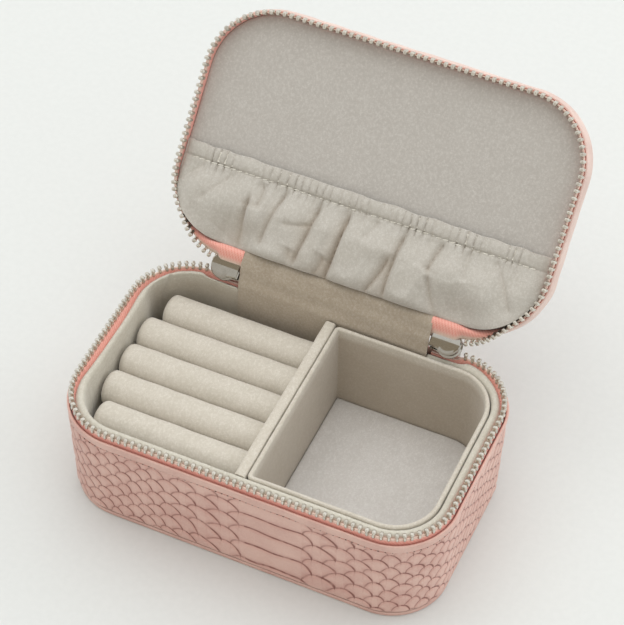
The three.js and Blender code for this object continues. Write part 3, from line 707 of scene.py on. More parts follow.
def tape_shown(s):
    """How wide the tape shows on the inside: most on the left, where the bead stands off the teeth."""
    points, normals = outline(BASE_PLAN, s)
    left = smooth(-normals[:, 0], 0.5, 1.0) * np.exp(-(((points[:, 1] - 2) / 24) ** 2))
    return 0.5 + 1.0 * left + 0.3 * smooth(normals[:, 0], 0.2, 0.9)


begin, end = gap_ends(BASE_PLAN, SLIDER_ZONE)
s = np.linspace(begin, end, 900)
chain = on_plan(BASE_PLAN, s, 0.04 * ripples(s, 0, 23, 5), 38.3 + 0.08 * ripples(s, 0, 31, 6))
up = np.broadcast_to([0.0, 0.0, 1.0], chain.shape)
teeth_along("base_teeth", chain, up, TOOTH_PITCH / 2, "base", "base_zip_teeth", 11)


def base_tape_at(count):
    """Distances along the base's tape, and how near each is to a slider, where the tape dips."""
    s = np.linspace(*gap_ends(BASE_PLAN, HINGE_HALF_WIDTH + 0.4), count)
    return s, 1 - smooth(np.minimum(s - begin, end - s), -2.5, 0.6)


s, by_slider = base_tape_at(700)
near = on_plan(BASE_PLAN, s, -0.1, 36.2 - 1.95 * by_slider)
far = on_plan(BASE_PLAN, s, -0.1, 29.4)
lean = on_plan(BASE_PLAN, s, 0.12, 0) - on_plan(BASE_PLAN, s, 0, 0)
tape("base_tape", near, far, lean, 8, "base", "base_zip_tape")
s, by_slider = base_tape_at(560)
near = on_plan(BASE_PLAN, s, -0.36, 35.75 - 1.6 * by_slider)
far = on_plan(BASE_PLAN, s, -0.45 - tape_shown(s), 33.9)
tape("base_tape_inner", near, far, 0 * near, 6, "base", "base_zip_tape", 0.25, 0.8)


# ---- base: suede lining with its rolled bead ----
def lining_wall():
    """The padded suede wall: a fat bead at the zip and, on the left, a slope down to the ring rolls."""
    s = np.linspace(0, ROUND, 560, endpoint=False)
    where, normals = outline(BASE_PLAN, s)
    away = from_hinge(BASE_PLAN, s)
    low = 1 - smooth(away, 38.6, 42.4)
    steep = smooth(normals[:, 1], -0.1, 0.5)[:, None] * (where[:, 0] < 0)[:, None]
    hidden = 1 - smooth(away, 29.0, 30.0)
    by_rolls = smooth(-normals[:, 0], 0.3, 0.9)
    room = tape_shown(s)[:, None] - 0.5
    level = 36.2 - 0.4 * room[:, 0] - 0.9 * (low - hidden) - 2.6 * hidden
    face = [(-2.35, 3.9), (-2.35, 12.0), (-2.35, 20.0), (-2.5, 24.0), (-2.9, 28.0)]
    face += [(-3.35, 31.5), (-3.62, 33.6)]
    slope = [(-2.35, 3.9), (-2.35, 12.0), (-2.75, 20.0), (-4.75, 22.0), (-4.75, 25.5)]
    slope += [(-4.2, 30.5), (-3.75, 33.3)]
    bead = [(-3.64, 34.7), (-3.4, 35.4), (-2.9, 35.85), (-2.35, 36.0), (-1.85, 35.9)]
    bead += [(-1.4, 35.6), (-1.05, 35.1)]
    outer = [(-0.85, 34.4), (-0.8, 33.6), (-1.0, 32.9), (-1.75, 32.6), (-1.75, 28.0), (-1.75, 3.9)]
    near = np.array(face + bead + outer)
    left = np.array(slope + bead + outer)
    share = by_rolls[:, None, None]
    profile = near[None] * (1 - share) + left[None] * share
    side, z = profile[..., 0], profile[..., 1]
    side = side * (1 - steep) + np.maximum(side, -2.3 - 0.25 * smooth(z, 34, 35.5)) * steep
    flat = hidden[:, None]
    side = side * (1 - flat) + np.clip(side, -2.35, -1.2) * flat
    tucked = np.where(z > 32.5, np.minimum(-side - 2.12, 0), 0)
    side = side + low[:, None] * (1 - flat) * (tucked + 0.45 * (side < -2.6))
    moved = np.where(z > 32.8, np.maximum(side + 3.9, 0), 0) / 3.1
    side = side - room * moved * (1 - low[:, None])
    z = np.where(z > 33, 33 + (z - 33) * (level[:, None] - 33) / 3.0, z)
    swell = 0.12 * ripples(s[:, None], 3 * side, 14, 21) * smooth(z, 28, 34)
    puckers = 0.06 * ripples(s[:, None], 0 * z, 3.2, 22) * smooth(z, 34, 35.5)
    crease = 0.5 * np.exp(-(((s[:, None] - ROUND + 53 + 0.35 * (36 - z)) / 0.7) ** 2))
    crease = crease * smooth(z, 22, 26) * (side < -2.2)
    points = on_plan(BASE_PLAN, s[:, None], side + draft(z) + 0.5 * swell + crease, z + 0.5 * swell + puckers)
    faces = tube_faces(len(s), z.shape[1], True)
    # Painted shade: the inner face below the bead is browner, most on the back walls of the left half.
    nap_and_painted_shade = 0.55 * (side < -2.0) * (1 - smooth(z, 32.5, 35.2)) * (0.5 + 0.5 * steep)
    add("base_lining", points, faces, SUEDE, "base", "base_lining_wall", "suede", cavity=nap_and_painted_shade)


lining_wall()


# ---- ring rolls ----
def ring_roll(index):
    """A foam roll in a suede sleeve: round ends, a flattened foot and a slightly uneven surface."""
    row = index - 2
    y = ROLL_CENTRE[0] - row * ROLL_PITCH
    left, right, radius = (-49.2 if abs(row) == 2 else -52.1), -2.4, 5.38
    rounding = 2.4
    bow = np.linspace(0.12, math.pi / 2, 11)
    x = np.concatenate([left + rounding * (1 - np.cos(bow)), np.linspace(left + rounding, right, 60)[1:]])
    ends = np.ones(len(x))
    ends[: len(bow)] = np.sin(bow) ** 0.72
    turn = np.linspace(0, 2 * math.pi, 56, endpoint=False)
    uneven = 0.07 * ripples(x[:, None], 5 * turn[None], 13, 30 + index)
    sag = 0.1 * np.sin((x - left) / (right - left) * math.pi)
    size = radius * ends[:, None] + uneven * ends[:, None]
    across = size * np.sign(np.cos(turn)) * np.abs(np.cos(turn)) ** 0.94
    rise = size * np.sin(turn) * np.where(np.sin(turn) < 0, 0.86, 1.0) - sag[:, None] * (np.sin(turn) > 0)
    points = xyz(x[:, None], y + across, ROLL_CENTRE[1] + rise)
    faces = tube_faces(len(x), len(turn), False)
    name, node = f"ring_roll_{index + 1}", f"ring_roll_sleeve_{index + 1}"
    piece = add(name, points, faces, PALE, "base", node, "pale_suede")


for k in range(5):
    ring_roll(k)


# ---- divider ----
def divider():
    """Suede folded over a board: soft shoulders, a faint sag along the top."""
    y = np.linspace(-30.4, 30.5, 90)
    left, right, top = -2.1, 1.1, 36.0
    r = 0.85
    arc = np.linspace(0, math.pi / 2, 6)
    outer = [(left, z) for z in (4.7, 12, 20, 28, 33)]
    outer += [(left + r - r * math.cos(a), top - r + r * math.sin(a)) for a in arc]
    outer += [((left + right) / 2, top + 0.03)]
    outer += [(right - r + r * math.sin(a), top - r + r * math.cos(a)) for a in arc]
    outer += [(right, z) for z in (33, 28, 20, 12, 4.7)]
    profile = np.array(outer)
    x, z = np.broadcast_arrays(profile[:, 0][None], profile[:, 1][None])
    swell = 0.07 * ripples(y[:, None], z, 12, 41)
    away = np.sign(x + 0.65)
    sag = 0.08 * ripples(y[:, None], 0, 17, 42) * (z > 30)
    points = xyz(x + away * 0.6 * swell, y[:, None], z + sag)
    faces = tube_faces(len(y), len(profile), False)
    add("divider_suede", points, faces, TRAY_SUEDE, "base", "divider_cover divider_board", "suede")


divider()


# ---- tray ----
def corner_box(x0, x1, y0, y1, radii, steps=14):
    """A rectangle with a radius for each corner and even straights, anticlockwise from the back right."""
    places = [(x1, y1, -1, -1), (x0, y1, 1, -1), (x0, y0, 1, 1), (x1, y0, -1, 1)]
    loop = []
    for k, (x, y, in_x, in_y) in enumerate(places):
        r = radii[k]
        for i in range(steps + 1):
            a = (k + i / steps) * math.pi / 2
            loop.append((x + in_x * r + r * math.cos(a), y + in_y * r + r * math.sin(a)))
    dense = []
    for k, (a, b) in enumerate(zip(loop, loop[1:] + loop[:1])):
        far = math.dist(a, b)
        cuts = max(1, round(far / 1.6))
        dense += [tuple(np.array(a) + (np.array(b) - a) * i / cuts) for i in range(cuts)]
    return np.array(dense)


def inset_box(inset):
    radii = [13.6 - inset, max(1.6 - inset, 0.3), max(1.6 - inset, 0.3), 13.6 - inset]
    return corner_box(1.4 + inset, 53.1 - inset, -30.2 + inset, 30.2 - inset, radii)


def tray_wall():
    """The tray's thin suede-covered wall with a rounded rim."""
    wall, top, foot = 1.3, 36.0, 4.7
    half = wall / 2
    middle = inset_box(half)
    heading = np.roll(middle, -1, 0) - np.roll(middle, 1, 0)
    out = unit(np.stack([heading[:, 1], -heading[:, 0]], -1))
    arc = np.radians([0, 30, 60, 90, 120, 150, 180])
    profile = [(half, z) for z in (foot, 15, 25, 32)]
    profile += [(half * math.cos(a), top - half + half * math.sin(a)) for a in arc]
    profile += [(-half, z) for z in (32, 25, 15, foot)]
    profile = np.array(profile)
    length = np.cumsum(np.linalg.norm(heading / 2, axis=1))
    level = profile[None, :, 1]
    wave = 0.1 * ripples(length[:, None], level, 15, 51)
    inside = (profile[:, 0] < 0)[None]
    offset = profile[None, :, 0] + np.where(inside, -0.8, 0.1) * np.abs(wave) * 0.6
    xy = middle[:, None] + out[:, None] * offset[..., None]
    z = level + 0.08 * ripples(length, 0, 21, 52)[:, None] * (level > 34)
    points = np.concatenate([xy, z[..., None]], -1)
    # Painted shade: the inside face of the wall below the rim is browner.
    nap_and_painted_shade = 0.6 * inside * (level < 33) + 0 * offset
    faces = tube_faces(len(middle), len(profile), True)
    add("tray_suede_wall", points, faces, TRAY_SUEDE, "base", "tray_wall", "suede", cavity=nap_and_painted_shade)


tray_wall()


def tray_pad():
    """The padded floor of the tray: it swells a little and turns down at the wall."""
    rings = [(1.62, 4.75), (1.5, 5.2), (1.52, 5.6), (1.75, 5.86), (2.3, 6.02), (3.5, 6.1)]
    rings += [(7.0, 6.14), (12, 6.16)]
    boxes = [inset_box(inset) for inset, _ in rings]
    count = min(len(box) for box in boxes)
    rows = []
    for box, (_, z) in zip(boxes, rings):
        closed = np.vstack([box, box[:1]])
        length = run_length(closed)
        where = np.linspace(0, length[-1], count, endpoint=False)
        x, y = (np.interp(where, length, closed[:, k]) for k in (0, 1))
        rows.append(xyz(x, y, z + 0.05 * ripples(x, y, 17, 55)))
    faces = tube_faces(len(rows), count, False)
    return add("tray_pad", rows, faces, FLOOR_SUEDE, "base", "tray_floor", "suede", sharp=50)


tray_pad()


# ---- hinge: suede strip inside, leather spine outside ----
def bent_strip(name, line, half_width, thickness, columns, wrinkle, material, node, slot):
    """A band of cloth along a smooth line of (y, z) points, as a closed sheet."""
    line = np.array(line, float)
    length = run_length(line)
    t = np.linspace(0, length[-1], round(length[-1] / 0.7))
    path = np.stack([np.interp(t, length, line[:, k]) for k in (0, 1)], -1)
    for _ in range(6):
        path[1:-1] = (path[:-2] + 2 * path[1:-1] + path[2:]) / 4
    x = HINGE_CENTRE_X + np.linspace(-half_width, half_width, columns)
    along = unit(np.gradient(path, axis=0))
    normal = np.stack([-along[:, 1], along[:, 0]], -1)
    lift = wrinkle(x[None], t[:, None])
    layers = []
    for side in (-0.5, 0.5):
        yz = path[:, None] + normal[:, None] * (lift + side * thickness)[..., None]
        layers.append(xyz(x[None], yz[..., 0], yz[..., 1]))
    rows = np.concatenate([layers[0], layers[1][:, ::-1]], 1)
    return add(name, rows, tube_faces(len(t), 2 * columns, False), material, None, node, slot)


def hinge_wrinkles(x, t):
    free = smooth(t, 13, 19) * (1 - smooth(t, 27, 29.5))
    upright = 0.16 * ripples(x, 0.25 * t, 6.5, 61)
    sagging = 0.2 * ripples(0.25 * x, t, 7.5, 62)
    return free * (upright + sagging)


closed_end = opened([[0, 34.6, 41.8], [0, 33.9, 42.4], [0, 32.9, 42.8]])[:, 1:]
hinge_line = [(30.75, 19.0), (31.1, 28.0), (31.15, 34.0), (31.5, 36.8), (32.4, 40.0), (33.5, 43.4)]
hinge_line += [tuple(p) for p in closed_end]
strip_half = HINGE_HALF_WIDTH - 0.2
hinge_cloth = (hinge_wrinkles, STRIP, "hinge_lining", "suede")
strip = bent_strip("hinge_suede_strip", hinge_line, strip_half, 0.3, 170, *hinge_cloth)
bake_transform(strip)

spine_line = [(34.75, 34.3), (34.5, 38.0), (34.45, 41.0), (34.6, 43.9)]
spine_half = HINGE_HALF_WIDTH - 1.0
spine_skin = (lambda x, t: 0.1 * ripples(x, t, 9, 63), SMOOTH, "spine_leather", "embossed_leather")
spine = bent_strip("spine_leather_strip", spine_line, spine_half, 0.7, 90, *spine_skin)
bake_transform(spine)


# ---- lid: outside ----
LID_ROUND = perimeter(LID_PLAN)


def lid_wall():
    """The lid's narrow leather wall, rolled at its zip edge."""
    s = np.linspace(0, LID_ROUND, 640, endpoint=False)
    arc = np.radians([0, 35, 70, 105, 140, 180])
    profile = [(1.15, 48.55), (1.22, 47.8), (1.26, 46.6), (1.24, 45.2), (1.15, 43.6)]
    profile += [(0.65 + 0.42 * math.cos(a), 42.4 - 0.45 * math.sin(a)) for a in arc]
    profile += [(0.25, 45.0), (0.45, 48.5)]
    profile = np.array(profile)
    lumps = 0.1 * ripples(s[:, None], profile[None, :, 1], 9, 71) * (profile[None, :, 0] > 0.6)
    raised = (1 - smooth(from_hinge(LID_PLAN, s), 46, 62))[:, None]
    z = profile[None, :, 1] + raised * smooth(profile[None, :, 1], 45.5, 42.5)
    points = on_plan(LID_PLAN, s[:, None], profile[None, :, 0] + lumps + 0.2 * raised, z)
    faces = tube_faces(len(s), len(profile), True)
    add("lid_leather_wall", opened(points), faces, EDGE, "lid", "lid_wall_cover", "edge_leather")


lid_wall()


def lid_top():
    """The padded, embossed top of the lid: rings that climb from the edge to the crown."""
    step = 0.6
    inward = np.concatenate([[0.0, 0.12, 0.35, 0.7, 1.2], np.arange(1.8, 33.6, step)])
    s = np.linspace(0, LID_ROUND, round(LID_ROUND / step), endpoint=False)
    rim = on_plan(LID_PLAN, s, 1.12, 0)[:, :2]
    centre_line = np.stack([np.clip(rim[:, 0], -22.5, 22.5), np.zeros(len(s))], -1)
    share = inward / 33.6
    xy = rim[None] * (1 - share[:, None, None]) + centre_line[None] * share[:, None, None]
    rise = 1.25 * (1 - np.exp(-inward / 2.2)) - 1.1 * np.exp(-inward / 0.35)
    u, v = scale_grid(xy[..., 0] - 6, 17 + xy[..., 1] * 0.95)
    shown = smooth(inward, 1.6, 2.6)[:, None] * np.ones(len(s))[None]
    z = 48.95 + rise[:, None] + EMBOSS * (scale_relief(u, v) - 1) * shown
    top = np.concatenate([xy, z[..., None]], -1)
    foot = np.concatenate([rim * 0.99, np.full((len(s), 1), 48.85)], -1)[None]
    points = np.concatenate([foot, top])
    uv = np.stack([u, v], -1)
    uv = np.concatenate([uv[:1], uv])
    shown = np.concatenate([shown[:1] * 0, shown])
    faces = tube_faces(len(points), len(s), False)
    skin = (SCALY, "lid", "lid_top_cover", "embossed_leather", uv, 70)
    add("lid_leather_top", opened(points), faces, *skin, emboss=shown)


lid_top()


# ---- lid: inside ----
def lid_panel():
    """The flat suede panel of the lid, turned in at its edge."""
    levels = [(-0.6, 44.4), (-0.4, 44.0), (-0.42, 43.5), (-0.7, 43.26), (-1.4, 43.2)]
    levels += [(-3.5, 43.2), (-9.0, 43.2)]
    s = np.linspace(0, LID_ROUND, 420, endpoint=False)
    rows = [on_plan(LID_PLAN, s, offset, z) for offset, z in levels]
    rows += [rows[-1] * [share, share, 1] for share in (0.75, 0.5, 0.25, 0.03)]
    for p in rows[3:]:
        p[:, 2] += 0.1 * ripples(p[:, 0], p[:, 1], 26, 81)
    faces = tube_faces(len(rows), len(s), False)
    add("lid_panel", opened(rows), faces, PANEL, "lid", "lid_lining_panel", "suede", sharp=50)


lid_panel()


# Deep folds of the pocket, each from its top to its foot: x, y, x, y, depth, width on its left and on
# its right.
FOLDS = [
    (-33.0, 17.5, -33.2, 33.5, 1.5, 4.2, 1.5),
    (-22.4, 13.2, -26.2, 30.5, 1.3, 3.4, 1.4),
    (-12.0, 13.2, -14.9, 32.5, 1.5, 3.6, 1.6),
    (-3.1, 13.0, -5.2, 35.0, 2.0, 4.2, 1.3),
    (14.2, 13.2, 13.0, 34.0, 1.6, 3.6, 1.4),
    (11.8, 21.5, 7.2, 34.0, 1.2, 2.6, 1.6),
    (25.6, 13.2, 23.4, 22.0, 1.3, 2.8, 1.6),
    (23.6, 22.0, 29.2, 34.5, 1.2, 2.0, 3.4),
    (41.0, 13.2, 49.5, 26.5, 0.8, 3.0, 2.0),
    (-49.0, 13.4, -55.5, 20.5, 0.6, 2.2, 2.8),
    (-39.0, 13.4, -47.0, 23.0, 0.7, 3.4, 3.0),
    (-30.6, 13.2, -30.0, 20.5, 0.9, 2.4, 1.4),
    (-13.0, 20.5, -21.0, 22.5, 0.7, 2.0, 2.6),
    (-9.2, 34.6, -6.9, 28.0, 0.8, 2.0, 1.6),
    (33.0, 13.2, 34.2, 21.0, 0.6, 2.2, 2.2),
    (-18.0, 35.0, -17.2, 29.0, 0.6, 1.8, 2.2),
    (5.6, 13.2, 3.0, 19.0, 0.6, 2.4, 2.0),
    (-43.0, 28.0, -30.0, 33.5, 0.4, 2.5, 2.5),
]
POCKET_TOP = 8.3
POCKET_FOOT = 34.15
STITCH_Y = 12.4


def creases(x, y):
    """How far the folds pull the cloth in: a sharp pleat in a broad dip that is steeper on one side."""
    pulled = np.zeros(np.broadcast(x, y).shape)
    for x0, y0, x1, y1, depth, wide_left, wide_right in FOLDS:
        long = math.hypot(x1 - x0, y1 - y0)
        ax, ay = (x1 - x0) / long, (y1 - y0) / long
        t = ((x - x0) * ax + (y - y0) * ay) / long
        bow = 0.6 * np.sin(math.pi * np.clip(t, 0, 1)) * math.sin(5 * x0 + y0)
        d = (x - x0) * ay - (y - y0) * ax + bow
        d = d if ay > 0 else -d
        width = np.where(d < 0, wide_left, wide_right) * (0.55 + 0.55 * np.clip(t, 0, 1))
        fade = smooth(t, -0.12, 0.22) * (1 - smooth(t, 0.9, 1.14))
        broad = np.exp(-np.sqrt(d * d + 0.012) / width)
        sharp = np.exp(-np.sqrt(d * d + 0.01) / 0.55)
        pulled = pulled + depth * fade * (1.5 * broad + 0.4 * sharp)
    return pulled


def pocket_rise(x, y):
    """Height of the pocket's cloth above the panel, and the painted shade of its folds, ruffle valleys and the
    pinch at the seam.
    """
    sides = np.sqrt(np.clip(1 - np.abs(x / 56.0) ** 7, 0, 1))
    hem = 1.35 + 1.1 * np.sqrt(np.clip(1 - ((y - 10.3) / 2.25) ** 2, 0, 1))
    belly = 2.1 + 3.6 * smooth(y, STITCH_Y, 21.5)
    foot = np.sqrt(np.clip((POCKET_FOOT - y) / 4.2, 0, 1))
    foot = foot * (2 - foot)
    past = smooth(y, STITCH_Y - 0.3, STITCH_Y + 0.3)
    body = hem * (1 - past) + belly * past
    pinch = 0.45 * np.exp(-(((y - STITCH_Y) / 0.45) ** 2))
    bunch = x + 0.9 * ripples(x, 0 * y, 11, 92) + 0.15 * ripples(x, y, 4, 95)
    valley = np.exp(-((np.sin(math.pi * bunch / 2.4) / 0.42) ** 2))
    ruffle = 0.3 - valley
    amount = 1.15 * (0.6 + 0.4 * ripples(x, 0 * y, 17, 93))
    near_seam = np.where(y < STITCH_Y, 0.8, np.exp(-(np.maximum(y - STITCH_Y, 0) / 2.4)))
    ruffles = amount * ruffle * near_seam * (1 - smooth(np.abs(x), 47, 54))
    soft = 0.5 * ripples(x, 0.6 * y, 10, 94) * smooth(y, 13, 18)
    small = 0.16 * ripples(x, 0.35 * y, 3.0, 96) * smooth(y, 12, 15)
    rise = body - pinch + ruffles + soft + small - creases(x, y)
    rise = 0.5 * (rise + np.sqrt(rise * rise + 0.3))
    # Painted shade: darker in the folds, in the ruffle valleys and at the pinch along the seam.
    cavity = 0.22 * creases(x, y) - 0.6 * np.minimum(ruffles, 0) + 0.25 * pinch
    by_slider = np.exp(-(((np.abs(x - HINGE_CENTRE_X) - 35) / 9) ** 2)) * smooth(y, 22, 32)
    rise = np.maximum(rise * (0.2 + 0.8 * sides), 0.15) * foot * (1 - 0.84 * by_slider) + 0.12
    return np.minimum(rise, 5.6), np.clip(cavity, 0, 1)


def pocket_half_width(y):
    hx, hy, r = LID_PLAN
    past = np.maximum(y - (hy - r), 0)
    return hx - r + np.sqrt(np.maximum((r - 0.5) ** 2 - past**2, 0))


def pocket():
    """The gathered pocket: a cloth sheet with a rolled hem, fixed at its sides and foot."""
    columns, rows = ((440, 96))
    y = np.linspace(POCKET_TOP, POCKET_FOOT - 0.35, rows)
    waves = 0.18 * ripples(np.linspace(-55, 55, columns), 0, 9, 97)
    share = np.linspace(-1, 1, columns)
    share = np.sin(share * math.pi / 2 * 0.82) / math.sin(math.pi / 2 * 0.82)
    half = pocket_half_width(np.minimum(y, LID_PLAN[1] - 0.55))
    x = share[None] * half[:, None]
    y = np.broadcast_to(y[:, None], x.shape) + waves[None] * (1 - smooth(y, 8, 16))[:, None]
    front, cavity = pocket_rise(x, y)
    thickness = 0.35
    lip = np.linspace(0.2, math.pi - 0.2, 5)[:, None]
    back = np.maximum(front - thickness, 0.05)
    under = np.maximum(front[:1] - 0.9, 0.05)
    outer = np.stack([x, y, LID_PANEL - front], -1)
    inner = np.stack([x, y, LID_PANEL - back], -1)
    inner[:4, :, 2] = LID_PANEL - np.maximum(front[:4] - 0.9, 0.05)
    middle, half_lip = (front[:1] + under) / 2, (front[:1] - under) / 2
    edge_y = y[:1] - 0.4 * np.sin(lip)
    edge_z = LID_PANEL - (middle - half_lip * np.cos(lip))
    edge = np.stack([np.broadcast_to(x[:1], edge_z.shape), edge_y, edge_z], -1)
    loops = np.concatenate([inner[::-1], edge, outer])
    loops = loops.transpose(1, 0, 2)
    # The painted shade of the folds, one number per point, for the cloth's colour.
    depth = np.concatenate([cavity[::-1], np.repeat(cavity[:1], len(lip), 0), cavity]).T
    faces = tube_faces(columns, loops.shape[1], False)
    skin = (CLOTH, "lid", "lid_pocket", "pocket_cloth")
    return add("pocket_gathered", opened(loops), faces, *skin, cavity=depth)


pouch = pocket()


def pocket_stitches():
    centres = []
    x = np.arange(-52.5, 53.0, 2.0)
    for k in x:
        y = STITCH_Y + 0.12 * float(ripples(np.array(k), 0.0, 9, 98))
        rise = float(pocket_rise(np.array(k), np.array(y))[0])
        slope = (float(pocket_rise(np.array(k + 0.4), np.array(y))[0]) - rise) / 0.4
        along = unit([1.0, 0.0, -slope])
        point = np.array([k, y, LID_PANEL - rise - 0.1])
        tip = opened(np.array([point, point + along, point + np.array([0, 0, -1.0])]))
        centres.append((tip[0], unit(tip[1] - tip[0]), unit(tip[2] - tip[0])))
    return stitch_row("pocket_stitches", centres, CREAM_THREAD, "lid", "pocket_cloth", 1.75, 0.2, 0.16, 7)


hem_thread = pocket_stitches()


# ---- lid: zip, drawn down to the sliders near the hinge ----
LID_ZONE = 37.4


def lid_chain(half_width):
    """The line of the lid's tooth tips, round from one side of the hinge to the other, and its dip."""
    begin, end = gap_ends(LID_PLAN, half_width)
    s = np.linspace(begin, end, 1400)
    line = opened(on_plan(LID_PLAN, s, 0.0, 38.6))
    from_zone = np.minimum(s - begin, end - s) - (LID_ZONE - half_width)
    pull = 1 - smooth(from_zone, -1.5, 17.0)
    mouth = np.array([SLIDER_REST[0] + 0.1, SLIDER_REST[1] + 0.75])
    line[:, 1:] += pull[:, None] * (mouth - line[:, 1:])
    angle = np.radians(137 + 73 * pull)
    tips = np.stack([np.zeros(len(s)), np.cos(angle), np.sin(angle)], -1)
    return s, line, tips, pull, from_zone


s, line, tips, pull, _ = lid_chain(LID_ZONE)
lid_teeth = teeth_along("lid_teeth", line + 0.1 * tips, tips, 0.6, None, "lid_zip_teeth", 12)
s, line, tips, pull, from_zone = lid_chain(HINGE_HALF_WIDTH - 0.6)
along, across, tips = frames_along(line, tips)
near = line - (0.2 + 1.9 * smooth(from_zone, -1.2, 1.2))[:, None] * tips
far = opened(on_plan(LID_PLAN, s, -0.12, 44.6))
over_edge = opened(on_plan(LID_PLAN, s, 0.5, 41.4))
sag = 0.9 * pull[:, None] * (over_edge - (near + far) / 2)
lid_tape = tape("lid_tape", near[::2], far[::2], sag[::2], 14, None, "lid_zip_tape")
for piece in (lid_teeth, lid_tape):
    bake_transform(piece)


# ---- sliders and pulls ----
def slider_outline(grow, count=40):
    """The slider's face: a round lobe at the mouth that narrows to a straight tail. X along the zip."""
    half, lobe, tail = 4.5, 3.75, 2.5
    centre = half - lobe
    turn = math.radians(118)
    arc = np.linspace(-turn, turn, count)
    loop = [(centre + lobe * math.cos(a), lobe * math.sin(a)) for a in arc]
    neck, tip = np.array([-1.6, tail + 0.1]), np.array([-half, tail])
    lobe_end = np.array(loop[-1])
    for t in np.linspace(0, 1, 12)[1:]:
        loop.append(tuple((1 - t) ** 2 * lobe_end + 2 * t * (1 - t) * neck + t * t * tip))
    loop += [(x, -z) for x, z in loop[count:][::-1]]
    loop = np.array(loop)
    return loop + unit(loop) * grow


def slider_plate(way, crown, ridge):
    """One plate of a slider. way is -1 for the plate that faces in and +1 for the outer one."""
    inner, outer = 1.2, 2.0
    levels = [(-0.25, inner), (0.0, inner + 0.15), (0.05, 1.6), (0.0, outer - 0.15), (-0.22, outer)]
    rows = []
    for grow, y in levels:
        loop = slider_outline(grow)
        rows.append(xyz(loop[:, 0], way * y, loop[:, 1]))
    for share in (0.93, 0.6, 0.3, 0.04):
        loop = slider_outline(-0.22)
        lift = outer + crown + ridge * (1 - np.abs(loop[:, 1] * share) / 3.75)
        rows.append(xyz(loop[:, 0] * (0.97 + 0.02 * share), way * lift, loop[:, 1] * share))
    points = np.array(rows)
    return points.reshape(-1, 3), tube_faces(len(rows), points.shape[1], False)


def rounded_bar(path, half_a, half_b, side, sides=10):
    """A bar of rounded oblong section along a path. side is the direction of its first half width."""
    path = np.array(path, float)
    along = unit(np.gradient(path, axis=0))
    a = unit(np.array(side, float) - along * (along @ np.array(side, float))[:, None])
    b = np.cross(along, a)
    ca, cb = squared(np.linspace(0, 2 * math.pi, sides, endpoint=False), 0.6)
    rows = path[:, None] + half_a * ca[None, :, None] * a[:, None] + half_b * cb[None, :, None] * b[:, None]
    return rows.reshape(-1, 3), tube_faces(len(path), sides, False)


def slider_parts():
    post = rounded_bar([(2.1, y, 0) for y in (-1.5, -0.5, 0.5, 1.5)], 1.3, 0.9, (1, 0, 0))
    arch = [(-2.3, 1.8, 0), (-2.3, 3.4, 0), (-2.05, 4.2, 0), (-1.4, 4.55, 0), (0, 4.6, 0)]
    arch += [(-x, y, z) for x, y, z in arch[-2::-1]]
    bridge = rounded_bar(arch, 0.55, 0.32, (0, 0, 1))
    return joined(slider_plate(-1, 0.06, 0.3), slider_plate(1, 0.06, 0.15), post, bridge)


def pull_parts():
    """A flat tab hung from the slider's bridge by an eye at its top. Y points away from the slider."""
    end, wide = 21.0, 2.5
    right = [(1.2, 2.8), (1.6, 3.2), (1.6, 7.2), (1.7, 10.2), (2.1, 13.2), (wide, end - 4.5)]
    cap = [(wide * math.cos(a), end - wide + wide * math.sin(a)) for a in np.linspace(0, math.pi, 13)]
    edge = np.array(right + cap + [(-x, y) for x, y in right[::-1]])
    eye = [(1.0, 3.85), (1.0, 5.2), (0.95, 6.4), (0.5, 6.9)]
    eye = np.array(eye + [(0, 7.0)] + [(-x, y) for x, y in eye[::-1]] + [(0, 3.78)])

    def grown(loop, centre, grow):
        return loop + unit(loop - np.array([0, centre])) * grow

    def swung_clear(loop):
        """Below the eye the tab is slimmer and stands off the case, which lessens its contact with the spine."""
        below = smooth(loop[:, 1], 6.5, 12)
        return loop[:, 0] * (1 - 0.16 * below) + 1.1 * below

    def resample(loop, count):
        """Even points round a loop, from the one right below the eye's middle."""
        closed = np.vstack([loop, loop[:1]])
        length = run_length(closed)
        where = np.linspace(0, length[-1], 400, endpoint=False)
        dense = np.stack([np.interp(where, length, closed[:, k]) for k in (0, 1)], -1)
        angle = np.arctan2(dense[:, 1] - 5.4, dense[:, 0])
        first = np.argmin(np.abs(np.angle(np.exp(1j * (angle + math.pi / 2)))))
        dense = np.roll(dense, -first, 0)
        if np.sum(np.cross(dense, np.roll(dense, -1, 0))) < 0:
            dense = np.vstack([dense[:1], dense[:0:-1]])
        picks = np.linspace(0, len(dense), count, endpoint=False).astype(int)
        return dense[picks]

    count = 64
    rows = []
    for grow, x in [(-0.12, -0.5), (0.0, -0.35), (0.0, 0.35), (-0.12, 0.5)]:
        loop = resample(grown(edge, 12.0, grow), count)
        rows.append(xyz(x, loop[:, 1], swung_clear(loop)))
    for grow, x in [(0.12, 0.5), (0.0, 0.38), (0.0, -0.38), (0.12, -0.5)]:
        loop = resample(grown(eye, 5.2, grow), count)
        rows.append(xyz(x, loop[:, 1], loop[:, 0]))
    points = np.array(rows)
    return points.reshape(-1, 3), grid_faces(len(rows), count, True, True)


def slider_place(side, roll=0.0, inset=0.0):
    """The slider's own axes at rest: X towards the open mouth, Y out of the case, Z across the zip."""
    turn = SLIDER_TURN + math.radians(roll)
    x = np.array([side, 0.0, 0.0])
    y = np.array([0.0, math.cos(turn), -math.sin(turn)])
    z = np.array([0.0, math.sin(turn), math.cos(turn)])
    return placed([HINGE_CENTRE_X + side * (SLIDER_X - inset), *SLIDER_REST], x, y, z)


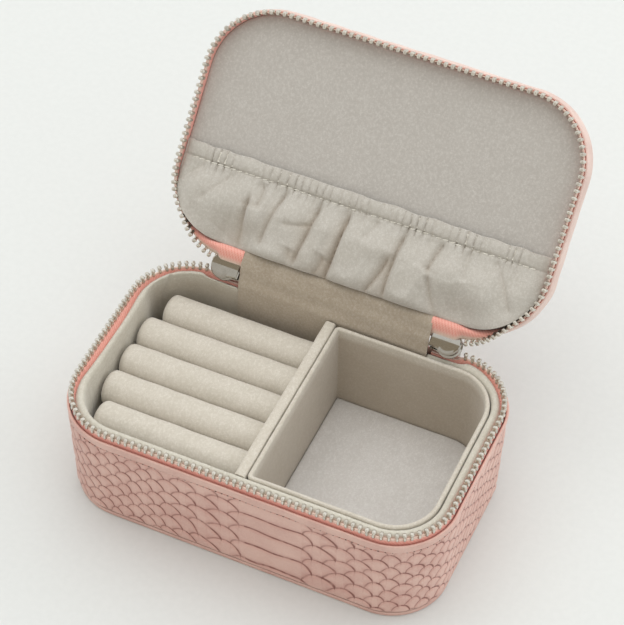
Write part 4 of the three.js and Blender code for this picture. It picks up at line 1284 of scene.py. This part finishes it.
for side, label in ((1, "right"), (-1, "left")):
    place = [slider_place(side, 0.0, 0.2)]
    rolled = [slider_place(side, 4.0 * side, 0.2)]
    body, tab = copies(*slider_parts(), rolled), copies(*pull_parts(), place)
    names = (SLIDER, f"slider_{label}", f"slider_{label}", "nickel")
    add(f"slider_body_{label}", *body, *names, sharp=35)
    names = (SLIDER, f"pull_{label}", f"slider_pull_{label}", "nickel")
    add(f"pull_tab_{label}", *tab, *names, sharp=35)


# ---- carried-over CAD nodes ----
KEPT = {
    "base_floor_lining": SUEDE,
    "base_wall_board": BOARD,
    "base_floor_board": BOARD,
    "ring_bed": FOAM,
    "lid_top_board": BOARD,
    "lid_wall_board": BOARD,
    "lid_filler_foam": FOAM,
    "pocket_elastic": CREAM_THREAD,
}
for k in range(5):
    KEPT[f"ring_roll_core_{k + 1}"] = FOAM
for name, material in KEPT.items():
    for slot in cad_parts[name].material_slots:
        slot.material = material.owner


# ---- floor, light and camera ----
def paper(name):
    g = look(name, Specular_IOR_Level=0.25)
    grain = g.noise(2.0, detail=3)
    colour = g.mix(g.step(grain, 0.3, 0.7), (0.695, 0.712, 0.702, 1), (0.71, 0.727, 0.717, 1))
    return g.finish(colour, 0.8, grain, depth=0.02, strength=0.2)


def sweep_floor():
    """A floor that runs up into a backdrop far behind the case."""
    y = np.concatenate([np.linspace(-1500, 900, 25), 900 + 700 * np.sin(np.linspace(0.1, math.pi / 2, 10))])
    z = np.concatenate([np.zeros(25), 700 * (1 - np.cos(np.linspace(0.1, math.pi / 2, 10)))])
    x = np.linspace(-1800, 1800, 20)
    points = xyz(x[None], y[:, None], z[:, None])
    floor = add("floor", points, grid_faces(len(y), len(x)), paper("pale_paper"), sharp=40)
    if floor.data.polygons[0].normal.z < 0:
        floor.data.flip_normals()


sweep_floor()


def area_light(name, place, look_at, size, power, colour):
    data = bpy.data.lights.new(name, "AREA")
    data.shape = "RECTANGLE"
    data.size, data.size_y = size
    data.energy, data.color = power, colour
    light = bpy.data.objects.new(name, data)
    bpy.context.scene.collection.objects.link(light)
    z = unit(np.array(place) - np.array(look_at))
    x = unit(np.cross([0, 0.01, 1], z))
    rotation = Matrix(np.column_stack([x, np.cross(z, x), z]).tolist())
    light.matrix_world = Matrix.Translation(place) @ rotation.to_4x4()
    light.visible_glossy = False


area_light("overhead_softbox", (-0.15, 0.12, 1.25), (0, 0.0, 0.03), (1.3, 1.3), 5.6, (1.0, 0.99, 0.97))
area_light("rear_window", (0.8, 0.8, 0.55), (0.1, 0.08, 0.0), (0.9, 0.7), 3.0, (0.97, 1.0, 1.0))


def studio_world():
    """White walls, dimmer and warmer to the front. The dark patch high in front is there for reflections."""
    world = bpy.data.worlds.new("studio")
    bpy.context.scene.world = world
    g = Graph(world)
    way = g.node("ShaderNodeTexCoord", {}).outputs["Generated"]
    parts = g.node("ShaderNodeSeparateXYZ", {0: way})
    facing = g.step(Term(g, parts.outputs[1]), -1.0, -0.1)
    colour = g.mix(facing, (0.6, 0.56, 0.5, 1), (0.98, 0.992, 0.985, 1))
    dark_patch = unit([-0.256, -0.342, 0.9025])
    dot = g.node("ShaderNodeVectorMath", {0: way, 1: tuple(dark_patch)}, operation="DOT_PRODUCT")
    near = Term(g, dot.outputs["Value"])
    colour = g.mix(g.step(near, 0.983, 0.988), colour, (0.42, 0.36, 0.27, 1))
    background = g.tree.nodes["Background"]
    g.plug(background.inputs[0], colour)
    background.inputs[1].default_value = 1.03


studio_world()

CAMERA_TURN = 0.411769
CAMERA_RISE = 0.8482553
CAMERA_ROLL = 0.0179547
CAMERA_AWAY = 775.828
CAMERA_TARGET = np.array([-19.5656, 60.6185, 0.0])
LENS = 145.91

level = math.cos(CAMERA_RISE)
back = np.array([math.sin(CAMERA_TURN) * level, -math.cos(CAMERA_TURN) * level, math.sin(CAMERA_RISE)])
right = unit(np.cross([0, 0, 1], back))
upward = np.cross(back, right)
rolled_right = right * math.cos(CAMERA_ROLL) + upward * math.sin(CAMERA_ROLL)
rolled_up = upward * math.cos(CAMERA_ROLL) - right * math.sin(CAMERA_ROLL)
lens = bpy.data.cameras.new("camera")
lens.lens, lens.sensor_width = LENS, 36.0
lens.clip_start, lens.clip_end = 0.02, 20.0
camera = bpy.data.objects.new("camera", lens)
bpy.context.scene.collection.objects.link(camera)
where = (CAMERA_TARGET + CAMERA_AWAY * back) * MM
camera.matrix_world = Matrix.Translation(where) @ Matrix(
    np.column_stack([rolled_right, rolled_up, back]).tolist()
).to_4x4()
bpy.context.scene.camera = camera
bpy.context.scene.view_settings.view_transform = "Standard"
